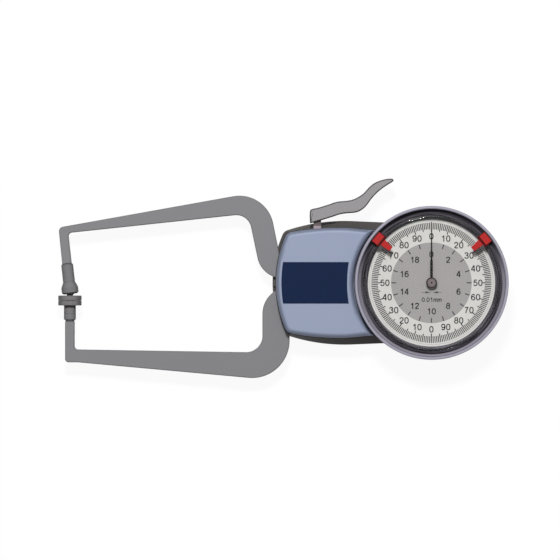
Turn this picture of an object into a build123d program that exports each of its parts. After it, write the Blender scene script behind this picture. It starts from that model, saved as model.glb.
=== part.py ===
from build123d import *
import os
from math import acos, atan2, cos, degrees, hypot, radians, sin

# External caliper gauge with a dial, 0 to 20 mm, one turn of the long hand for 2 mm.
# It lies on its back: +Z to the reader of the dial, +X from the contacts to the dial,
# +Y to 12 o'clock. The origin is on the dial's axis, in the plane that it rests on.
# Everything is in millimetres, with the contacts closed.

os.makedirs("parts", exist_ok=True)

# Fits
press_gap = 0.01
running_gap = 0.04
free_gap = 0.3

# Heights of the housing above the rest plane
floor_thickness = 2.0
bulge_level = 7.5
joint_level = 14.0
seal_thickness = 0.6
front_level = joint_level + seal_thickness
front_top = 22.0

# Housing, seen from the front: half outlines as (x, y) at the end corner, crown and waist
wall = 2.0
end_reach = 67.5
end_bow = 4.9
end_corner = (end_bow - end_reach, 22.0)
end_corner_radius = 3.5
flank_middle = (-50.0, 25.3)
flank_crown = (-34.0, 26.4)
flank_tail = (-12.0, 25.5)
front_end_inset = 1.5
front_end_reach = end_reach - front_end_inset
front_corner_inset = (1.2, 0.8)
front_end_corner = (end_corner[0] + front_corner_inset[0], end_corner[1] - front_corner_inset[1])
front_flank_middle = (-50.0, 22.9)
front_flank_crown = (-36.0, 23.4)
front_flank_tail = (-12.0, 21.2)
floor_inset = 2.2
front_edge_radius = 2.0
seal_proud = 0.3

# Dial, bezel and crystal, as radii about the dial's axis, each set in from the bezel's
bezel_radius = 32.6
bezel_wall = 1.25
drum_inset = 0.2
dial_border = 5.5
crystal_border = 3.7
drum_radius = bezel_radius - drum_inset
dial_radius = bezel_radius - dial_border
crystal_radius = bezel_radius - crystal_border
collar_wall = 1.6
bezel_seat = 18.3
dial_level = 21.4
dial_thickness = 0.5
dial_edge_gap = 1.0
bezel_shelf = 1.0
crystal_level = 25.0
crystal_thickness = 1.5
bezel_top = 28.0
marker_spread = 50.5
marker_width = 5.2
marker_top = 28.9

# Arms and contacts
arm_level = 9.5
arm_thickness = 4.2
arm_middle = arm_level + arm_thickness / 2
leg_width = 4.0
contact_axis_x = -153.9
contact_plane_y = -7.54
contact_gap = 0.04
disc_radius = 5.0
disc_thickness = 2.1
sleeve_radius = 2.55
ball_radius = 2.6
ball_height = 4.7
leg_tilt = 6.4

# Pivot and the train of wheels from the arm to the hands
pivot_x = -50.0
pivot_y = 2.0
pin_radius = 2.0
bush_wall = 1.0
hub_radius = 4.5
hub_flange_radius = 7.5
arm_eye_radius = 8.3
sector_teeth = 340
sector_module = 0.25
first_pinion_teeth = 10
wheel_teeth = 96
wheel_module = 0.2
centre_pinion_teeth = 10
idler_teeth = 50
idler_pinion_teeth = 20
hour_teeth = 40
arm_travel = 11.0294

# Heights in the movement
plate_level = 3.2
plate_thickness = 1.2
sector_level = 5.5
sector_thickness = 1.5
wheel_level = 8.0
wheel_thickness = 0.8
bridge_level = 10.8
bridge_thickness = 1.2
idler_level = 13.4
hour_level = 15.4
motion_thickness = 0.7
hairspring_level = 17.4
hand_level = 22.4
arbor_radius = 0.6
idler_direction = -60.0

pivot = (pivot_x, pivot_y)


def polar(radius, angle, centre=(0.0, 0.0)):
    """Point at a radius and an angle in degrees about a centre."""
    return (centre[0] + radius * cos(radians(angle)), centre[1] + radius * sin(radians(angle)))


def direction(start, end):
    """Angle in degrees of the line from one point to another."""
    return degrees(atan2(end[1] - start[1], end[0] - start[0]))


def gear_points(teeth, module, turn, centre=(0.0, 0.0), kept=None):
    """Corners of a spur gear's outline with a tooth centred on the angle turn: each tooth has
    two root corners, two at the pitch circle and two at the narrow tip. A sector keeps only
    the teeth numbered in kept, counted from that tooth."""
    pitch_radius = teeth * module / 2
    step = 360.0 / teeth
    rings = (
        (pitch_radius - 1.15 * module, -0.25),
        (pitch_radius, -0.21),
        (pitch_radius + 0.75 * module, -0.10),
    )
    corners = rings + tuple((radius, -share) for radius, share in reversed(rings))
    return [
        polar(radius, turn + (number + share) * step, centre)
        for number in (kept or range(teeth))
        for radius, share in corners
    ]


# Centres of the wheels. The first arbor stands above the line from the pivot to the dial,
# where the sector drives its pinion and its wheel drives the centre pinion.
sector_reach = (sector_teeth + first_pinion_teeth) * sector_module / 2
wheel_reach = (wheel_teeth + centre_pinion_teeth) * wheel_module / 2
pivot_reach = hypot(pivot_x, pivot_y)
arbor_lift = degrees(
    acos((sector_reach**2 + pivot_reach**2 - wheel_reach**2) / (2 * sector_reach * pivot_reach))
)
arbor_direction = direction(pivot, (0, 0)) + arbor_lift
arbor = polar(sector_reach, arbor_direction, pivot)
wheel_direction = direction(arbor, (0, 0))
idler_reach = (centre_pinion_teeth + idler_teeth) * wheel_module / 2
idler = polar(idler_reach, idler_direction)


def housing_face(outline, inset=0.0):
    """Sketch face of the housing's body: a bowed end, rounded corners and crowned flanks.
    The inset moves every side inwards."""
    reach, corner, middle, crown, tail = outline
    corner = (corner[0] + inset, corner[1] - inset)
    middle, crown, tail = [(x, y - inset) for x, y in (middle, crown, tail)]
    with BuildSketch(mode=Mode.PRIVATE) as face:
        with BuildLine():
            flank = Line(tail, crown)
            bow = ThreePointArc(crown, middle, corner)
            ThreePointArc(corner, (-reach + inset, 0), (corner[0], -corner[1]))
            mirror([flank, bow], about=Plane.XZ)
            Line(tail, (tail[0], -tail[1]))
        make_face()
        fillet(face.vertices().group_by(Axis.X)[0], end_corner_radius)
    return face.sketch


back_outline = (end_reach, end_corner, flank_middle, flank_crown, flank_tail)
front_outline = (
    front_end_reach,
    front_end_corner,
    front_flank_middle,
    front_flank_crown,
    front_flank_tail,
)

# Places of the fasteners
drum_screw_inset = 4.1
plate_screw_inset = 6.0
end_screw_inset = 5.5
middle_screw_inset = 13.0
root_screw_offset = 7.4
housing_screws_at = (
    (-27.0, 18.2),
    (-27.0, -18.2),
    polar(drum_radius - drum_screw_inset, 45),
    polar(drum_radius - drum_screw_inset, -45),
)
arm_screws_at = (
    (end_screw_inset - end_reach, -10.0),
    (middle_screw_inset - end_reach, -12.8),
    (pivot_x + root_screw_offset, -12.4),
)
plate_screws_at = (polar(drum_radius - plate_screw_inset, 134.5), (-1.5, -18.0), (18.5, 7.0))
pillars_at = ((-8.0, 22.0), (-5.5, -14.0), (14.0, 3.0))
boss_radius = 3.0
screw_radius = 1.25
screw_head_radius = 2.2
screw_head_height = 1.5
small_screw_radius = 0.8
small_screw_head_radius = 1.5
small_screw_head_height = 0.9
spring_post_radius = 1.0
spring_post_at = (-37.0, 18.5)
spring_hook_at = (-37.0, 5.5)

# The sector's first and last teeth, numbered from the one on the first arbor, and its stops
first_sector_tooth = -4
last_sector_tooth = 15
sector_step = 360.0 / sector_teeth
sector_low = arbor_direction + (first_sector_tooth - 0.5) * sector_step
sector_high = arbor_direction + (last_sector_tooth + 0.5) * sector_step
stop_reach = 29.0
stop_radius = 1.2
stop_gap = 0.35
stop_angle = degrees((stop_radius + stop_gap) / stop_reach)
stops_at = (
    polar(stop_reach, sector_high + stop_angle, pivot),
    polar(stop_reach, sector_low - arm_travel - stop_angle, pivot),
)

# Thumb lever and its stem
lever_level = 9.2
lever_depth = 8.4
stem_x = -48.4
stem_width = 3.2
stem_top_y = 28.0
stem_level = 10.6
stem_top_level = 16.0
stem_middle = (stem_level + stem_top_level) / 2
stem_foot_width = 5.0
stem_foot_y = 8.0
tab_end_y = 18.0
slot_gap = 0.5
grommet_wall = 0.8
stem_swing = (stem_top_y - pivot_y) * sin(radians(arm_travel))
slot_width = stem_swing + stem_width + 2 * slot_gap
slot_x = stem_x + stem_swing / 2
slot_floor = stem_level - slot_gap
slot_height = stem_top_level - stem_level + 2 * slot_gap
boss_top = sector_level - 0.6

# Back half of the housing: floor, flanks that lean in above and below their widest level,
# and a drum under the dial. Its end wall is notched for both arms, its upper flank for the
# stem of the thumb lever.
notch_web = 1.4
hole_floor = floor_thickness / 2
stop_wall = 1.0
pivot_boss_radius = 5.3
floor_edge_radius = 1.2
fixed_notch_depth = 7.3
moving_notch_depth = 6.5
fixed_notch_right = fixed_notch_depth - end_reach
moving_notch_right = moving_notch_depth - end_reach
notch_end = end_reach + 5.0
with BuildPart() as back_shell:
    with BuildSketch():
        add(housing_face(back_outline, floor_inset))
    with BuildSketch(Plane.XY.offset(bulge_level)):
        add(housing_face(back_outline))
    loft(ruled=True)
    with BuildSketch(Plane.XY.offset(bulge_level)):
        add(housing_face(back_outline))
    with BuildSketch(Plane.XY.offset(joint_level)):
        add(housing_face(front_outline, -seal_proud))
    loft(ruled=True)
    with BuildSketch():
        Circle(drum_radius)
    extrude(amount=joint_level)
    fillet(back_shell.faces().sort_by(Axis.Z)[0].outer_wire().edges(), floor_edge_radius)
    with BuildSketch(Plane.XY.offset(floor_thickness)):
        add(housing_face(front_outline, wall))
        Circle(drum_radius - wall)
    extrude(amount=joint_level, mode=Mode.SUBTRACT)
    with BuildSketch(Plane.XY.offset(floor_thickness)):
        with Locations(*housing_screws_at):
            Circle(boss_radius)
    extrude(amount=joint_level - floor_thickness)
    with BuildSketch(Plane.XY.offset(floor_thickness)):
        with Locations(*arm_screws_at):
            Circle(boss_radius)
    extrude(amount=arm_level - floor_thickness)
    with BuildSketch(Plane.XY.offset(floor_thickness)):
        with Locations(pivot):
            Circle(pivot_boss_radius)
        with Locations(spring_post_at):
            Circle(boss_radius)
    extrude(amount=boss_top - floor_thickness)
    with BuildSketch(Plane.XY.offset(floor_thickness)):
        with Locations(*plate_screws_at):
            Circle(boss_radius)
        with Locations(*stops_at):
            Circle(stop_radius + stop_wall)
    extrude(amount=plate_level - floor_thickness)
    with BuildSketch(Plane.XY.offset(hole_floor)):
        with Locations(pivot):
            Circle(pin_radius + press_gap)
        with Locations(*arm_screws_at):
            Circle(screw_radius + press_gap)
        with Locations(spring_post_at):
            Circle(spring_post_radius + press_gap)
        with Locations(*plate_screws_at):
            Circle(small_screw_radius + press_gap)
        with Locations(*stops_at):
            Circle(stop_radius + press_gap)
    extrude(amount=joint_level, mode=Mode.SUBTRACT)
    with BuildSketch():
        with Locations(*housing_screws_at):
            Circle(screw_radius + press_gap)
    extrude(amount=joint_level, mode=Mode.SUBTRACT)
    with BuildSketch():
        with Locations(*housing_screws_at):
            Circle(screw_head_radius + press_gap)
    extrude(amount=screw_head_height, mode=Mode.SUBTRACT)
    with BuildSketch(Plane.XY.offset(arm_level)):
        with Locations((fixed_notch_right, -notch_web)):
            Rectangle(notch_end, notch_end, align=(Align.MAX, Align.MAX))
    extrude(amount=joint_level, mode=Mode.SUBTRACT)
    with BuildSketch(Plane.XY.offset(arm_level - free_gap)):
        with Locations((moving_notch_right, notch_web)):
            Rectangle(notch_end, notch_end, align=(Align.MAX, Align.MIN))
    extrude(amount=joint_level, mode=Mode.SUBTRACT)
    with BuildSketch(Plane.XY.offset(slot_floor - grommet_wall)):
        with Locations((slot_x, flank_crown[1])):
            Rectangle(slot_width + 2 * grommet_wall, 6 * wall)
    extrude(amount=joint_level, mode=Mode.SUBTRACT)
back_shell.part.label = "back_shell"
export_step(back_shell.part, "parts/back_shell.step")

# Front half: a shallow lacquered casting with rounded edges. The bezel stands in a round
# recess of it, on a flange and round a collar.
bezel_bore = bezel_radius - bezel_wall
collar_radius = bezel_bore - 2 * running_gap
collar_bore = collar_radius - collar_wall
collar_top = dial_level - free_gap
flange_top = bezel_seat - free_gap
flange_level = flange_top - wall
recess_radius = bezel_radius + 2 * free_gap
front_boss_bottom = stem_top_level - free_gap
ring_groove_depth = 0.7
o_ring_radius = 0.36
o_ring_level = 20.1
snap_ring_level = 18.8
snap_ring_thickness = 0.4
groove_side_gap = 0.08
label_inset = 0.25
label_thickness = 0.4
label_half_height = 8.8
label_end_border = 2.3
label_bezel_gap = 3.2
label_left = label_end_border - front_end_reach
label_right = -bezel_radius - label_bezel_gap
label_bow = 0.7


def label_face(gap=0.0):
    """Sketch face of the label: straight long sides, a bowed left and a hollow right side."""
    left, right, half = label_left - gap, label_right + gap, label_half_height + gap
    with BuildSketch(mode=Mode.PRIVATE) as face:
        with BuildLine():
            Line((left + label_bow, half), (right + label_bow, half))
            ThreePointArc((right + label_bow, half), (right, 0), (right + label_bow, -half))
            Line((right + label_bow, -half), (left + label_bow, -half))
            ThreePointArc((left + label_bow, -half), (left, 0), (left + label_bow, half))
        make_face()
    return face.sketch


with BuildPart() as front_shell:
    with BuildSketch(Plane.XY.offset(front_level)):
        add(housing_face(front_outline))
    extrude(amount=front_top - front_level)
    with BuildSketch(Plane.XY.offset(flange_top)):
        Circle(recess_radius)
    extrude(amount=front_top, mode=Mode.SUBTRACT)
    fillet(front_shell.faces().sort_by(Axis.Z)[-1].outer_wire().edges(), front_edge_radius)
    with BuildSketch(Plane.XY.offset(front_level)):
        Circle(drum_radius)
    extrude(amount=flange_top - front_level)
    with BuildSketch(Plane.XY.offset(front_level)):
        add(housing_face(front_outline, wall))
        Circle(recess_radius + wall, mode=Mode.SUBTRACT)
    extrude(amount=front_top - wall - front_level, mode=Mode.SUBTRACT)
    with BuildSketch(Plane.XY.offset(front_level)):
        add(housing_face(front_outline, wall))
        Circle(drum_radius - wall)
    extrude(amount=flange_level - front_level, mode=Mode.SUBTRACT)
    with BuildSketch(Plane.XY.offset(flange_level)):
        Circle(collar_radius)
    extrude(amount=collar_top - flange_level)
    with BuildSketch(Plane.XY.offset(joint_level)):
        with Locations(*housing_screws_at):
            Circle(boss_radius)
    extrude(amount=flange_level - joint_level)
    with BuildSketch(Plane.XY.offset(front_boss_bottom)):
        with Locations(pivot):
            Circle(pin_radius + wall)
    extrude(amount=front_top - wall - front_boss_bottom)
    with BuildSketch(Plane.XY.offset(flange_level)):
        Circle(collar_bore)
    extrude(amount=front_top, mode=Mode.SUBTRACT)
    with BuildSketch(Plane.XY.offset(joint_level)):
        with Locations(*housing_screws_at):
            Circle(screw_radius + press_gap)
        with Locations(pivot):
            Circle(pin_radius + press_gap)
    extrude(amount=flange_level - joint_level + wall / 2, mode=Mode.SUBTRACT)
    with BuildSketch(Plane.XY.offset(front_top - label_inset)):
        add(label_face(press_gap))
    extrude(amount=front_top, mode=Mode.SUBTRACT)
    with BuildSketch(Plane.XY.offset(joint_level)):
        with Locations((slot_x, flank_crown[1])):
            Rectangle(slot_width + 2 * grommet_wall, 6 * wall)
    extrude(amount=slot_floor + slot_height + grommet_wall - joint_level, mode=Mode.SUBTRACT)
    with BuildSketch(Plane.XZ):
        with Locations((collar_radius, o_ring_level)):
            Rectangle(2 * ring_groove_depth, 2 * o_ring_radius + 2 * press_gap)
        with Locations((collar_radius, snap_ring_level)):
            Rectangle(2 * ring_groove_depth, snap_ring_thickness + 2 * press_gap)
    revolve(axis=Axis.Z, mode=Mode.SUBTRACT)
front_shell.part.label = "front_shell"
export_step(front_shell.part, "parts/front_shell.step")

# Rubber cord in the joint of the two halves, a little proud of the front one
with BuildPart() as shell_seal:
    with BuildSketch(Plane.XY.offset(joint_level)):
        add(housing_face(front_outline, -seal_proud))
        Circle(drum_radius)
        add(housing_face(front_outline, wall - 2 * seal_proud), mode=Mode.SUBTRACT)
        Circle(drum_radius - wall + 2 * seal_proud, mode=Mode.SUBTRACT)
    extrude(amount=seal_thickness)
    with BuildSketch(Plane.XY.offset(joint_level)):
        with Locations((slot_x, flank_crown[1])):
            Rectangle(slot_width + 2 * grommet_wall, 6 * wall)
        with Locations(*housing_screws_at):
            Circle(boss_radius + press_gap)
    extrude(amount=seal_thickness, mode=Mode.SUBTRACT)
shell_seal.part.label = "shell_seal"
export_step(shell_seal.part, "parts/shell_seal.step")

# Bare label plate, let into the front
with BuildPart() as label_plate:
    with BuildSketch(Plane.XY.offset(front_top - label_inset)):
        add(label_face())
    extrude(amount=label_thickness)
label_plate.part.label = "label_plate"
export_step(label_plate.part, "parts/label_plate.step")

# Lower arm: a flat plate with a thin leg, a tapering beam and a wide riser. Its root lies on
# bosses in the housing and is hollowed round the hub of the moving arm.
fixed_leg_top_y = -16.4
fixed_foot_y = -33.9
fixed_foot_right = -150.5
fixed_corner_y = -42.1
fixed_beam_y = -29.7
beam_end_y = -28.4
riser_width = 11.6
root_bottom_y = -16.4
root_right_offset = 10.5
root_right = pivot_x + root_right_offset
root_top_y = -8.2
arm_shoulder_y = -1.7
shoulder_radius = 11.5
riser_left = fixed_notch_right - riser_width
leg_corner_radius = 1.5
heel_radius = 15.0
riser_foot_radius = 16.0
root_inner_radius = 1.0
root_corner_radius = 3.0
root_top_radius = 2.0
throat_radius = 7.0
stud_radius = 1.6
stud_length = 5.0
arm_edge = 0.35
leg_left = contact_axis_x - leg_width / 2
leg_right = contact_axis_x + leg_width / 2
hub_clearance = arm_eye_radius + 0.5
with BuildPart() as fixed_arm:
    with BuildSketch(Plane.XY.offset(arm_level)):
        with BuildLine():
            FilletPolyline(
                (leg_left, fixed_leg_top_y),
                (leg_left, fixed_foot_y),
                (fixed_foot_right, fixed_foot_y),
                (fixed_notch_right, fixed_corner_y),
                (fixed_notch_right, root_bottom_y),
                (root_right, root_bottom_y),
                (root_right, root_top_y),
                (pivot_x, arm_shoulder_y),
                (riser_left, arm_shoulder_y),
                (riser_left, fixed_beam_y),
                (leg_right, beam_end_y),
                (leg_right, fixed_leg_top_y),
                radius=[
                    0,
                    leg_corner_radius,
                    heel_radius,
                    riser_foot_radius,
                    root_inner_radius,
                    root_corner_radius,
                    root_top_radius,
                    0,
                    shoulder_radius,
                    throat_radius,
                    leg_corner_radius,
                    0,
                ],
                close=True,
            )
        make_face()
        with Locations(pivot):
            Circle(hub_clearance, mode=Mode.SUBTRACT)
        with Locations(*arm_screws_at):
            Circle(screw_radius + press_gap, mode=Mode.SUBTRACT)
    extrude(amount=arm_thickness)
    with BuildSketch(Plane.XY.offset(arm_level + arm_thickness)):
        with Locations(*arm_screws_at):
            Circle(screw_head_radius + press_gap)
    extrude(amount=-screw_head_height, mode=Mode.SUBTRACT)
    chamfer(fixed_arm.faces().sort_by(Axis.Z)[0].outer_wire().edges(), arm_edge)
    chamfer(fixed_arm.faces().sort_by(Axis.Z)[-1].outer_wire().edges(), arm_edge)
    with BuildSketch(Plane.XZ.offset(-fixed_leg_top_y)):
        with Locations((contact_axis_x, arm_middle)):
            Circle(stud_radius)
    extrude(amount=-stud_length)
fixed_arm.part.label = "fixed_arm"
export_step(fixed_arm.part, "parts/fixed_arm.step")

# Frame of the upper contact: the ball's centre, and the stem's axis, which leans with the leg
ball_centre = Vector(contact_axis_x, contact_plane_y + ball_height, arm_middle)
stem_plane = Plane(
    origin=ball_centre,
    x_dir=(cos(radians(leg_tilt)), sin(radians(leg_tilt)), 0),
    z_dir=(0, 0, 1),
)
stem_axis = Axis(ball_centre, stem_plane.y_dir)
sleeve_top = 11.0


def on_stem(across, along):
    """Plan point at a distance across and along the upper contact's stem."""
    spot = ball_centre + stem_plane.x_dir * across + stem_plane.y_dir * along
    return (spot.X, spot.Y)


# Upper arm: the same kind of plate, drawn closed. Its beam and riser lean, its root ends in
# an eye round the hub, with a tab for the stem of the thumb lever.
moving_outer_left = (-158.7, 23.6)
moving_outer_right = (-70.05, 39.46)
moving_riser_foot = (-63.5, 7.2)
moving_root_top_y = 7.0
moving_shoulder_y = 1.85
moving_shoulder_left = (-72.04, moving_shoulder_y)
moving_inner_right = (-77.86, 29.43)
moving_leg_inner_along = 24.0
moving_leg_top_radius = 2.0
moving_crown_radius = 14.7
moving_foot_radius = 3.0
moving_shoulder_radius = 11.0
moving_throat_radius = 6.4
tab_width = 7.0
eye_screw_reach = 6.15
eye_screws_at = [polar(eye_screw_reach, angle, pivot) for angle in (210, 330)]
stem_screws_at = ((stem_x, 11.4), (stem_x, 15.4))
with BuildPart() as moving_arm:
    with BuildSketch(Plane.XY.offset(arm_level)):
        with BuildLine():
            FilletPolyline(
                on_stem(-leg_width / 2, sleeve_top),
                moving_outer_left,
                moving_outer_right,
                moving_riser_foot,
                (pivot_x, moving_root_top_y),
                (pivot_x, moving_shoulder_y),
                moving_shoulder_left,
                moving_inner_right,
                on_stem(leg_width / 2, moving_leg_inner_along),
                on_stem(leg_width / 2, sleeve_top),
                radius=[
                    0,
                    moving_leg_top_radius,
                    moving_crown_radius,
                    moving_foot_radius,
                    0,
                    0,
                    moving_shoulder_radius,
                    moving_throat_radius,
                    leg_corner_radius,
                    0,
                ],
                close=True,
            )
        make_face()
        with Locations(pivot):
            Circle(arm_eye_radius)
        with Locations((stem_x, pivot_y)):
            Rectangle(tab_width, tab_end_y - pivot_y, align=(Align.CENTER, Align.MIN))
        with Locations(pivot):
            Circle(hub_radius + press_gap, mode=Mode.SUBTRACT)
        with Locations(*eye_screws_at, *stem_screws_at):
            Circle(small_screw_radius + press_gap, mode=Mode.SUBTRACT)
    extrude(amount=arm_thickness)
    with BuildSketch(Plane.XY.offset(arm_level + arm_thickness)):
        with Locations(*eye_screws_at):
            Circle(small_screw_head_radius + press_gap)
    extrude(amount=-small_screw_head_height, mode=Mode.SUBTRACT)
    chamfer(moving_arm.faces().sort_by(Axis.Z)[0].outer_wire().edges(), arm_edge)
    chamfer(moving_arm.faces().sort_by(Axis.Z)[-1].outer_wire().edges(), arm_edge)
    with BuildSketch(Plane(stem_plane.origin + stem_plane.y_dir * sleeve_top, z_dir=stem_plane.y_dir)):
        Circle(stud_radius)
    extrude(amount=-stud_length)
moving_arm.part.label = "moving_arm"
export_step(moving_arm.part, "parts/moving_arm.step")

# Lower contact: a lapped disc on a stem, and the sleeve that holds it on the leg
lower_disc_top = contact_plane_y - contact_gap / 2
lower_stem_bottom = -13.2
contact_edge = 0.2
lower_sleeve_edge = 0.9
lower_plane = Plane(origin=(contact_axis_x, 0, arm_middle), z_dir=(0, 0, 1))
lower_axis = Axis((contact_axis_x, 0, arm_middle), (0, 1, 0))
with BuildPart() as lower_contact:
    with BuildSketch(lower_plane):
        with BuildLine():
            Polyline(
                (0, lower_disc_top),
                (disc_radius - contact_edge, lower_disc_top),
                (disc_radius, lower_disc_top - contact_edge),
                (disc_radius, lower_disc_top - disc_thickness + contact_edge),
                (disc_radius - contact_edge, lower_disc_top - disc_thickness),
                (sleeve_radius, lower_disc_top - disc_thickness),
                (sleeve_radius, lower_stem_bottom),
                (stud_radius + press_gap, lower_stem_bottom),
                (stud_radius + press_gap, fixed_leg_top_y + stud_length + press_gap),
                (0, fixed_leg_top_y + stud_length + press_gap),
                close=True,
            )
        make_face()
    revolve(axis=lower_axis)
lower_contact.part.label = "lower_contact"
export_step(lower_contact.part, "parts/lower_contact.step")

with BuildPart() as lower_sleeve:
    with BuildSketch(lower_plane):
        with BuildLine():
            Polyline(
                (stud_radius + press_gap, lower_stem_bottom - press_gap),
                (sleeve_radius, lower_stem_bottom - press_gap),
                (sleeve_radius, fixed_leg_top_y + lower_sleeve_edge),
                (sleeve_radius - lower_sleeve_edge, fixed_leg_top_y + press_gap),
                (stud_radius + press_gap, fixed_leg_top_y + press_gap),
                close=True,
            )
        make_face()
    revolve(axis=lower_axis)
lower_sleeve.part.label = "lower_sleeve"
export_step(lower_sleeve.part, "parts/lower_sleeve.step")

# Upper contact: sleeve on the leg, flared ball socket with a spigot in the sleeve, and the
# disc that swivels on its ball
socket_top = 3.2
socket_radius = 3.6
socket_bottom = -1.9
spigot_radius = 1.5
spigot_length = 1.6
upper_sleeve_edge = 0.4
socket_flare = 0.9
socket_lip = 0.8
socket_lip_height = 0.6
with BuildPart() as upper_sleeve:
    with BuildSketch(stem_plane):
        with BuildLine():
            Polyline(
                (stud_radius + press_gap, socket_top + press_gap),
                (sleeve_radius, socket_top + press_gap),
                (sleeve_radius, sleeve_top - upper_sleeve_edge),
                (sleeve_radius - upper_sleeve_edge, sleeve_top - press_gap),
                (stud_radius + press_gap, sleeve_top - press_gap),
                close=True,
            )
        make_face()
    revolve(axis=stem_axis)
upper_sleeve.part.label = "upper_sleeve"
export_step(upper_sleeve.part, "parts/upper_sleeve.step")

with BuildPart() as ball_socket:
    with BuildSketch(stem_plane):
        with BuildLine():
            Polyline(
                (0, socket_bottom),
                (socket_radius - socket_lip, socket_bottom),
                (socket_radius, socket_bottom + socket_lip_height),
                (socket_radius, socket_flare),
                (sleeve_radius, socket_top),
                (spigot_radius, socket_top),
                (spigot_radius, socket_top + spigot_length),
                (0, socket_top + spigot_length),
                close=True,
            )
        make_face()
    revolve(axis=stem_axis)
    with Locations(ball_centre):
        Sphere(ball_radius + running_gap, mode=Mode.SUBTRACT)
ball_socket.part.label = "ball_socket"
export_step(ball_socket.part, "parts/ball_socket.step")

upper_disc_bottom = contact_plane_y + contact_gap / 2
neck_radius = 1.3
with BuildPart() as swivel_disc:
    with BuildSketch(lower_plane):
        with BuildLine():
            Polyline(
                (0, upper_disc_bottom),
                (disc_radius - contact_edge, upper_disc_bottom),
                (disc_radius, upper_disc_bottom + contact_edge),
                (disc_radius, upper_disc_bottom + disc_thickness - contact_edge),
                (disc_radius - contact_edge, upper_disc_bottom + disc_thickness),
                (neck_radius, upper_disc_bottom + disc_thickness),
                (neck_radius, ball_centre.Y - ball_radius / 2),
                (0, ball_centre.Y - ball_radius / 2),
                close=True,
            )
        make_face()
    revolve(axis=lower_axis)
    with Locations(ball_centre):
        Sphere(ball_radius)
swivel_disc.part.label = "swivel_disc"
export_step(swivel_disc.part, "parts/swivel_disc.step")

# Thumb lever: a curved cast blade with a thick root, on the head of its stem
lever_top = ((-51.2, 30.4), (-45.2, 32.7), (-40.0, 34.3), (-33.4, 35.1), (-30.1, 36.7))
lever_blade_top = ((-26.9, 39.8), (-22.8, 42.8))
lever_top_tip = (-17.4, 44.4)
lever_bottom_tip = (-16.6, 42.9)
lever_bottom = ((-20.4, 40.5), (-24.3, 37.0), (-28.2, 32.0), (-30.9, 30.3), (-41.4, 28.6), (-51.2, 25.9))
lever_tip_radius = 0.6
lever_edge = 0.5
stem_pin_radius = 1.3
stem_pin_length = 2.6
stem_head_y = 27.6
with BuildPart() as thumb_lever:
    with BuildSketch(Plane.XY.offset(lever_level)) as lever_face:
        with BuildLine():
            Spline(*lever_top, *lever_blade_top, lever_top_tip)
            Line(lever_top_tip, lever_bottom_tip)
            Spline(lever_bottom_tip, *lever_bottom)
            Line(lever_bottom[-1], lever_top[0])
        make_face()
        fillet(lever_face.vertices().sort_by(Axis.X)[-2:], lever_tip_radius)
    extrude(amount=lever_depth)
    chamfer(thumb_lever.faces().sort_by(Axis.Z)[0].outer_wire().edges(), lever_edge)
    chamfer(thumb_lever.faces().sort_by(Axis.Z)[-1].outer_wire().edges(), lever_edge)
    with BuildSketch(Plane.XZ.offset(-flank_crown[1])):
        with Locations((stem_x, stem_middle)):
            Circle(stem_pin_radius + press_gap)
    extrude(amount=-(stem_head_y + stem_pin_length - flank_crown[1]), mode=Mode.SUBTRACT)
    with BuildSketch(Plane.XZ.offset(-flank_crown[1])):
        with Locations((stem_x, stem_middle)):
            Rectangle(stem_width + 2 * press_gap, stem_top_level - stem_level + 2 * press_gap)
    extrude(amount=-(stem_head_y + press_gap - flank_crown[1]), mode=Mode.SUBTRACT)
thumb_lever.part.label = "thumb_lever"
export_step(thumb_lever.part, "parts/thumb_lever.step")

# Steel stem: a foot screwed on the tab, a bar out through the slot, a pin in the lever
foot_top = stem_top_level
foot_bottom = arm_level + arm_thickness
with BuildPart() as lever_stem:
    with BuildSketch(Plane.XY.offset(foot_bottom)):
        with Locations((stem_x, stem_foot_y)):
            Rectangle(stem_foot_width, tab_end_y - stem_foot_y, align=(Align.CENTER, Align.MIN))
        with Locations(*stem_screws_at):
            Circle(small_screw_radius + press_gap, mode=Mode.SUBTRACT)
    extrude(amount=foot_top - foot_bottom)
    with BuildSketch(Plane.XY.offset(stem_level)):
        with Locations((stem_x, tab_end_y)):
            Rectangle(stem_width, stem_head_y - tab_end_y, align=(Align.CENTER, Align.MIN))
    extrude(amount=foot_top - stem_level)
    with BuildSketch(Plane.XZ.offset(-stem_head_y)):
        with Locations((stem_x, stem_middle)):
            Circle(stem_pin_radius)
    extrude(amount=-stem_pin_length + press_gap)
lever_stem.part.label = "lever_stem"
export_step(lever_stem.part, "parts/lever_stem.step")

# Rubber grommet in the slot of the flank, with room for the stem's swing
grommet_inner_y = 21.2
grommet_depth = 1.6
with BuildPart() as slot_grommet:
    with BuildSketch(Plane.XZ.offset(-grommet_inner_y)):
        with Locations((slot_x, slot_floor - grommet_wall)):
            Rectangle(
                slot_width + 2 * grommet_wall - 2 * press_gap,
                slot_height + 2 * grommet_wall - press_gap,
                align=(Align.CENTER, Align.MIN),
            )
        with Locations((slot_x, slot_floor)):
            Rectangle(slot_width, slot_height, align=(Align.CENTER, Align.MIN), mode=Mode.SUBTRACT)
    extrude(amount=-grommet_depth)
slot_grommet.part.label = "slot_grommet"
export_step(slot_grommet.part, "parts/slot_grommet.step")

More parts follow.
